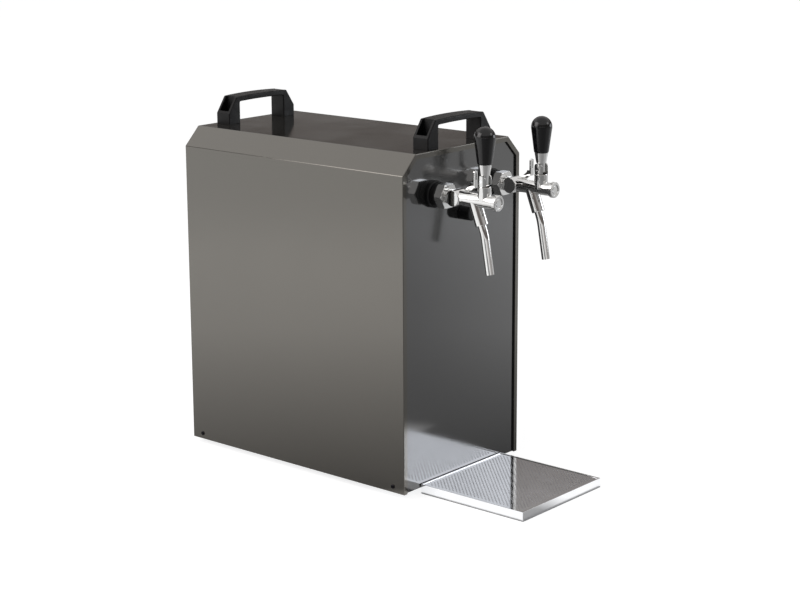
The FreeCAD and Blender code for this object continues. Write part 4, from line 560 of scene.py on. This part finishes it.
def perforated_grille(sizes):
    """Thin sheet with rows of holes staggered at 45 degrees, and a plain border."""
    low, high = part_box("drip_grille")
    middle = (low + high) / 2
    half = (high - low) / 2
    pitch = sizes.hole_pitch
    bm = bmesh.new()
    # The turned grid spans the sheet's diagonal, and a few rows more.
    spare_rows = 4
    count = int(2 * max(half.x, half.y) * math.sqrt(2) / pitch) + spare_rows
    place = Matrix.Translation((middle.x, middle.y, high.z)) @ Matrix.Rotation(math.pi / 4, 4, "Z")
    bmesh.ops.create_grid(bm, x_segments=count, y_segments=count, size=count * pitch / 2,
                          matrix=place)
    reach = Vector((half.x, half.y)) - Vector((1, 1)) * (sizes.grille_border + sizes.hole_radius)
    holes = []
    for face in bm.faces:
        off = face.calc_center_median() - middle
        if abs(off.x) < reach.x and abs(off.y) < reach.y:
            holes.append(face)
    # Each hole starts as a square a little narrower than itself, and its points go to the rim.
    square = sizes.hole_radius * 0.9
    bmesh.ops.inset_individual(bm, faces=holes, thickness=pitch / 2 - square)
    rims = list(dict.fromkeys(edge for face in holes for edge in face.edges))
    bmesh.ops.subdivide_edges(bm, edges=rims, cuts=1)
    hub = bm.verts.layers.float_vector.new("hole")
    for face in holes:
        centre = face.calc_center_median()
        for vert in face.verts:
            vert.co = centre + (vert.co - centre).normalized() * sizes.hole_radius
            vert[hub] = centre
    bmesh.ops.delete(bm, geom=holes, context="FACES_ONLY")
    for axis, extent in ((X, half.x), (Y, half.y)):
        for way in (-1, 1):
            bmesh.ops.bisect_plane(bm, geom=list(bm.verts) + list(bm.edges) + list(bm.faces),
                                   plane_co=middle + axis * (way * extent), plane_no=axis * way,
                                   clear_outer=True)
    bmesh.ops.solidify(bm, geom=list(bm.faces), thickness=high.z - low.z)
    # A punched hole narrows a little downwards, so its far wall catches some light.
    for vert in bm.verts:
        if vert.co.z < middle.z and vert[hub].length > 0:
            for i in (0, 1):
                vert.co[i] += (vert[hub][i] - vert.co[i]) * sizes.hole_taper
    bmesh.ops.recalc_face_normals(bm, faces=bm.faces)
    piece_from(bm, "perforated_grille", "stainless", "grille", "drip_grille")


# ---------------------------------------------------------------- stage
# Half width of the floor, and how far it lies below the feet
FLOOR_REACH = 60.0
FLOOR_DROP = 0.0002


class COOLER_OT_stage(bpy.types.Operator):
    """Set up the floor, the lamps, the backdrop and the camera"""

    bl_idname = "cooler.stage"
    bl_label = "Stage"

    def execute(self, context):
        stage = context.scene.cooler_stage
        make_floor()
        make_world(context.scene)
        make_lamps()
        make_camera(context.scene, stage)
        return {"FINISHED"}


def make_floor():
    """Wide pale floor. Its own light lifts it to white for the eye, and the shadow stays."""
    bm = bmesh.new()
    bmesh.ops.create_grid(bm, x_segments=1, y_segments=1, size=FLOOR_REACH)
    mesh = bpy.data.meshes.new("studio_floor")
    bm.to_mesh(mesh)
    bm.free()
    floor = bpy.data.objects.new("studio_floor", mesh)
    floor.location.z = -FLOOR_DROP
    bpy.context.scene.collection.objects.link(floor)
    material = bpy.data.materials.new("matt_paper_sweep")
    material.use_nodes = True
    tree = material.node_tree
    tree.nodes.clear()
    paper = add_node(tree, "ShaderNodeBsdfDiffuse", {"Color": linear("#b4b4b4")})
    lift = add_node(tree, "ShaderNodeEmission", {"Strength": 1.0}, {"Color": floor_lift(tree)})
    both = add_node(tree, "ShaderNodeAddShader", links={0: paper.outputs[0], 1: lift.outputs[0]})
    add_node(tree, "ShaderNodeOutputMaterial", links={"Surface": both.outputs[0]})
    mesh.materials.append(material)


def off_tray(tree, place, low, high):
    """Distance of a place on the floor from the drip tray's box."""
    off = add_node(tree, "ShaderNodeVectorMath", {1: (low + high) / 2}, {0: place},
                   operation="SUBTRACT")
    off = add_node(tree, "ShaderNodeVectorMath", links={0: off.outputs[0]}, operation="ABSOLUTE")
    off = add_node(tree, "ShaderNodeVectorMath", {1: (high - low) / 2}, {0: off.outputs[0]},
                   operation="SUBTRACT")
    off = add_node(tree, "ShaderNodeVectorMath", {1: (0, 0, 0)}, {0: off.outputs[0]},
                   operation="MAXIMUM")
    off = add_node(tree, "ShaderNodeVectorMath", links={0: off.outputs[0]}, operation="LENGTH")
    return off.outputs["Value"]


def distant_paper(tree, place):
    """Painted reflection, seen only in mirrors, of the paper away from the tray: more to the left
    than to the right.
    """
    along = add_node(tree, "ShaderNodeVectorMath", {1: MIRRORED}, {0: place},
                     operation="DOT_PRODUCT").outputs["Value"]
    distant = add_node(tree, "ShaderNodeMapRange",
                       {"From Min": 0.9, "From Max": 1.5, "To Min": 0.72, "To Max": 0.9},
                       {"Value": along})
    left = add_node(tree, "ShaderNodeMapRange", {"From Min": -0.05, "From Max": 0.85},
                    {"Value": along, "To Max": distant.outputs[0]})
    across = add_node(tree, "ShaderNodeVectorMath", {1: ASIDE}, {0: place},
                      operation="DOT_PRODUCT").outputs["Value"]
    aside = add_node(tree, "ShaderNodeMapRange",
                     {"From Min": -0.2, "From Max": 0.0, "To Min": 0.14, "To Max": 0.4},
                     {"Value": across})
    right = add_node(tree, "ShaderNodeMapRange", {"From Min": -0.2, "From Max": -0.9},
                     {"Value": along, "To Max": aside.outputs[0]})
    return add_node(tree, "ShaderNodeMath", links={0: left.outputs[0], 1: right.outputs[0]},
                    operation="MAXIMUM").outputs[0]


def mirrored_paper(tree, place):
    """Painted reflection, seen only in mirrors, of the paper: pale beside the tray and further
    off, dark between.
    """
    low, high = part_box("drip_tray")
    off = off_tray(tree, place, low, high)
    # Painted shade in the reflection: the glow is dark within a few millimetres of the tray, so
    # its foot shows a dark line.
    near = add_node(tree, "ShaderNodeMapRange",
                    {"From Min": 0.003, "From Max": 0.007, "To Min": 0.0, "To Max": 0.85},
                    {"Value": off})
    beside = add_node(tree, "ShaderNodeMapRange",
                      {"From Min": 0.035, "From Max": 0.08, "To Max": 0.0},
                      {"Value": off, "To Min": near.outputs["Result"]})
    # Painted shade in the reflection: right of the tray the paper's glow stays dark.
    spot = add_node(tree, "ShaderNodeSeparateXYZ", links={0: place})
    behind = add_node(tree, "ShaderNodeMapRange", {"From Min": low.y - 0.003, "From Max": low.y},
                      {"Value": spot.outputs["Y"]})
    past = add_node(tree, "ShaderNodeMapRange",
                    {"From Min": high.x + 0.002, "From Max": high.x + 0.01},
                    {"Value": spot.outputs["X"]})
    dark = add_node(tree, "ShaderNodeMath", links={0: past.outputs[0], 1: behind.outputs[0]},
                    operation="MINIMUM")
    beside = add_node(tree, "ShaderNodeMath", links={0: beside.outputs[0], 1: dark.outputs[0]},
                      operation="SUBTRACT")
    share = add_node(tree, "ShaderNodeMath",
                     links={0: beside.outputs[0], 1: distant_paper(tree, place)},
                     operation="MAXIMUM")
    # Painted shade in the reflection: the paper's glow is dimmed in front of the tray's left
    # corner.
    corner = add_node(tree, "ShaderNodeMapRange",
                      {"From Min": low.x + 0.05, "From Max": low.x + 0.11, "To Min": 0.1},
                      {"Value": spot.outputs["X"]})
    shade = add_node(tree, "ShaderNodeMath", links={0: corner.outputs[0], 1: behind.outputs[0]},
                     operation="MAXIMUM")
    return add_node(tree, "ShaderNodeMath", links={0: share.outputs[0], 1: shade.outputs[0]},
                    operation="MULTIPLY").outputs[0]


def floor_lift(tree):
    """Light that the floor adds: white for the eye and through glass, and a painted reflection in
    mirrors.
    """
    path = add_node(tree, "ShaderNodeLightPath")
    place = add_node(tree, "ShaderNodeTexCoord").outputs["Object"]
    mirrored = add_node(tree, "ShaderNodeMath", links={0: path.outputs["Is Glossy Ray"],
                                                       1: mirrored_paper(tree, place)},
                        operation="MULTIPLY")
    seen = add_node(tree, "ShaderNodeMath", links={0: path.outputs["Is Camera Ray"],
                                                   1: path.outputs["Is Transmission Ray"]},
                    operation="MAXIMUM")
    # The lamps give the rest of the white.
    white = add_node(tree, "ShaderNodeMath", {1: 0.8}, {0: seen.outputs[0]}, operation="MULTIPLY")
    return add_node(tree, "ShaderNodeMath", links={0: white.outputs[0], 1: mirrored.outputs[0]},
                    operation="MAXIMUM").outputs[0]


def make_world(scene):
    """Pale sweep to a little above the horizon, a dark warm gap over it, and a pale ceiling.

    The eye sees white everywhere, reflections see the sweep, the gap and the ceiling, and the
    rest of the light comes from an even sky.
    """
    world = bpy.data.worlds.new("studio_world")
    scene.world = world
    world.use_nodes = True
    tree = world.node_tree
    tree.nodes.clear()
    path = add_node(tree, "ShaderNodeLightPath")
    view = add_node(tree, "ShaderNodeTexCoord").outputs["Generated"]
    height = add_node(tree, "ShaderNodeSeparateXYZ", links={0: view}).outputs["Z"]
    along = add_node(tree, "ShaderNodeVectorMath", {1: MIRRORED}, {0: view},
                     operation="DOT_PRODUCT").outputs["Value"]
    paper = add_node(tree, "ShaderNodeMapRange",
                     {"From Min": -0.6, "From Max": 0.0, "To Min": 0.25, "To Max": 0.85},
                     {"Value": along})
    sweep = add_node(tree, "ShaderNodeMapRange",
                     {"From Min": 0.05, "From Max": 0.15, "To Max": 0.0},
                     {"Value": height, "To Min": paper.outputs[0]},
                     interpolation_type="SMOOTHSTEP")
    ceiling = add_node(tree, "ShaderNodeMapRange",
                       {"From Min": 0.28, "From Max": 0.5, "To Min": 0.0, "To Max": 0.7},
                       {"Value": height}, interpolation_type="SMOOTHSTEP")
    room = add_node(tree, "ShaderNodeMath", links={0: sweep.outputs["Result"],
                                                   1: ceiling.outputs["Result"]},
                    operation="MAXIMUM")
    sky = add_node(tree, "ShaderNodeBackground", {"Color": linear("#ffffff"), "Strength": 0.45})
    bright = add_node(tree, "ShaderNodeBackground", {"Color": linear("#ffffff")},
                      {"Strength": room.outputs[0]})
    gap = add_node(tree, "ShaderNodeBackground", {"Color": linear("#fff2eb"), "Strength": 0.15})
    reflected = add_node(tree, "ShaderNodeAddShader",
                         links={0: bright.outputs[0], 1: gap.outputs[0]})
    white = add_node(tree, "ShaderNodeBackground", {"Color": linear("#ffffff"), "Strength": 1.0})
    shown = sky.outputs[0]
    for kind, background in (("Is Glossy Ray", reflected), ("Is Transmission Ray", white),
                             ("Is Camera Ray", white)):
        shown = add_node(tree, "ShaderNodeMixShader", links={0: path.outputs[kind], 1: shown,
                                                             2: background.outputs[0]}).outputs[0]
    add_node(tree, "ShaderNodeOutputWorld", links={"Surface": shown})


# Soft boxes: name, place in metres, width and height in metres, radiance and colour
LAMPS = (("side_box", (-1.2, 0.5, 1.1), (1.1, 1.1), 3.0, "#fffbfa"),
         ("top_box", (-0.55, 1.75, 2.3), (1.6, 1.2), 0.25, "#ffffff"),
         ("front_box", (1.0, -2.0, 1.6), (0.9, 0.7), 2.5, "#ffffff"),
         ("low_box", (1.75, -1.3, 0.62), (0.9, 0.6), 3.8, "#f4f8ff"))
# All of them are aimed at the middle of the cooler.
LAMP_AIM = Vector((0, -0.05, 0.22))


def make_lamps():
    """Hang the soft boxes: to the left, above, in front, and low on the right."""
    for name, place, size, radiance, text in LAMPS:
        data = bpy.data.lights.new(name, "AREA")
        data.shape = "RECTANGLE"
        data.size, data.size_y = size
        data.energy = radiance * math.pi * size[0] * size[1]
        data.color = linear(text)[:3]
        lamp = bpy.data.objects.new(name, data)
        lamp.location = place
        aim = LAMP_AIM - Vector(place)
        lamp.rotation_euler = aim.to_track_quat("-Z", "Y").to_euler()
        lamp.visible_camera = False
        bpy.context.scene.collection.objects.link(lamp)


def make_camera(scene, stage):
    """Camera at the viewing angle of a catalogue picture."""
    data = bpy.data.cameras.new("catalogue_camera")
    data.lens = stage.focal_length
    data.sensor_width = 36
    data.shift_y = stage.camera_shift
    camera = bpy.data.objects.new("catalogue_camera", data)
    azimuth, tilt, roll = stage.camera_turn
    turn = (Matrix.Rotation(azimuth, 4, "Z") @ Matrix.Rotation(tilt, 4, "X")
            @ Matrix.Rotation(roll, 4, "Z"))
    camera.matrix_world = Matrix.Translation(stage.camera_place) @ turn
    scene.collection.objects.link(camera)
    scene.camera = camera
    scene.view_settings.view_transform = "Standard"


# ---------------------------------------------------------------- finishes, panel and main
class COOLER_OT_finishes(bpy.types.Operator):
    """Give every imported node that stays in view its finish"""

    bl_idname = "cooler.finishes"
    bl_label = "Finishes"

    def execute(self, context):
        for name, node in frame["nodes"].items():
            node.data.materials.clear()
            node.data.materials.append(finish_of(SLOT[name]))
        return {"FINISHED"}


class COOLER_PT_panel(bpy.types.Panel):
    """Sidebar panel with the cooler's operators and settings"""

    bl_idname = "COOLER_PT_panel"
    bl_label = "Beer Cooler"
    bl_space_type = "VIEW_3D"
    bl_region_type = "UI"
    bl_category = "Beer Cooler"

    def draw(self, context):
        layout = self.layout
        for operator in OPERATORS:
            layout.operator(operator.bl_idname)
        scene = context.scene
        for group in (scene.cooler_colours, scene.cooler_sizes, scene.cooler_stage):
            for key in group.__annotations__:
                layout.prop(group, key)


OPERATORS = (COOLER_OT_finishes, COOLER_OT_cabinet, COOLER_OT_handles, COOLER_OT_taps,
             COOLER_OT_controls, COOLER_OT_drip_tray, COOLER_OT_stage)
CLASSES = (CoolerColours, CoolerSizes, CoolerStage) + OPERATORS + (COOLER_PT_panel,)


def register():
    """Register the classes and hang the settings on the scene."""
    for cls in CLASSES:
        bpy.utils.register_class(cls)
    bpy.types.Scene.cooler_colours = PointerProperty(type=CoolerColours)
    bpy.types.Scene.cooler_sizes = PointerProperty(type=CoolerSizes)
    bpy.types.Scene.cooler_stage = PointerProperty(type=CoolerStage)


def unregister():
    """Undo what register does."""
    del bpy.types.Scene.cooler_stage
    del bpy.types.Scene.cooler_sizes
    del bpy.types.Scene.cooler_colours
    for cls in reversed(CLASSES):
        bpy.utils.unregister_class(cls)


def main():
    """Dress the whole cooler."""
    register()
    bpy.ops.cooler.finishes()
    bpy.ops.cooler.cabinet()
    bpy.ops.cooler.handles()
    bpy.ops.cooler.taps()
    bpy.ops.cooler.controls()
    bpy.ops.cooler.drip_tray()
    bpy.ops.cooler.stage()


if __name__ == "__main__":
    main()
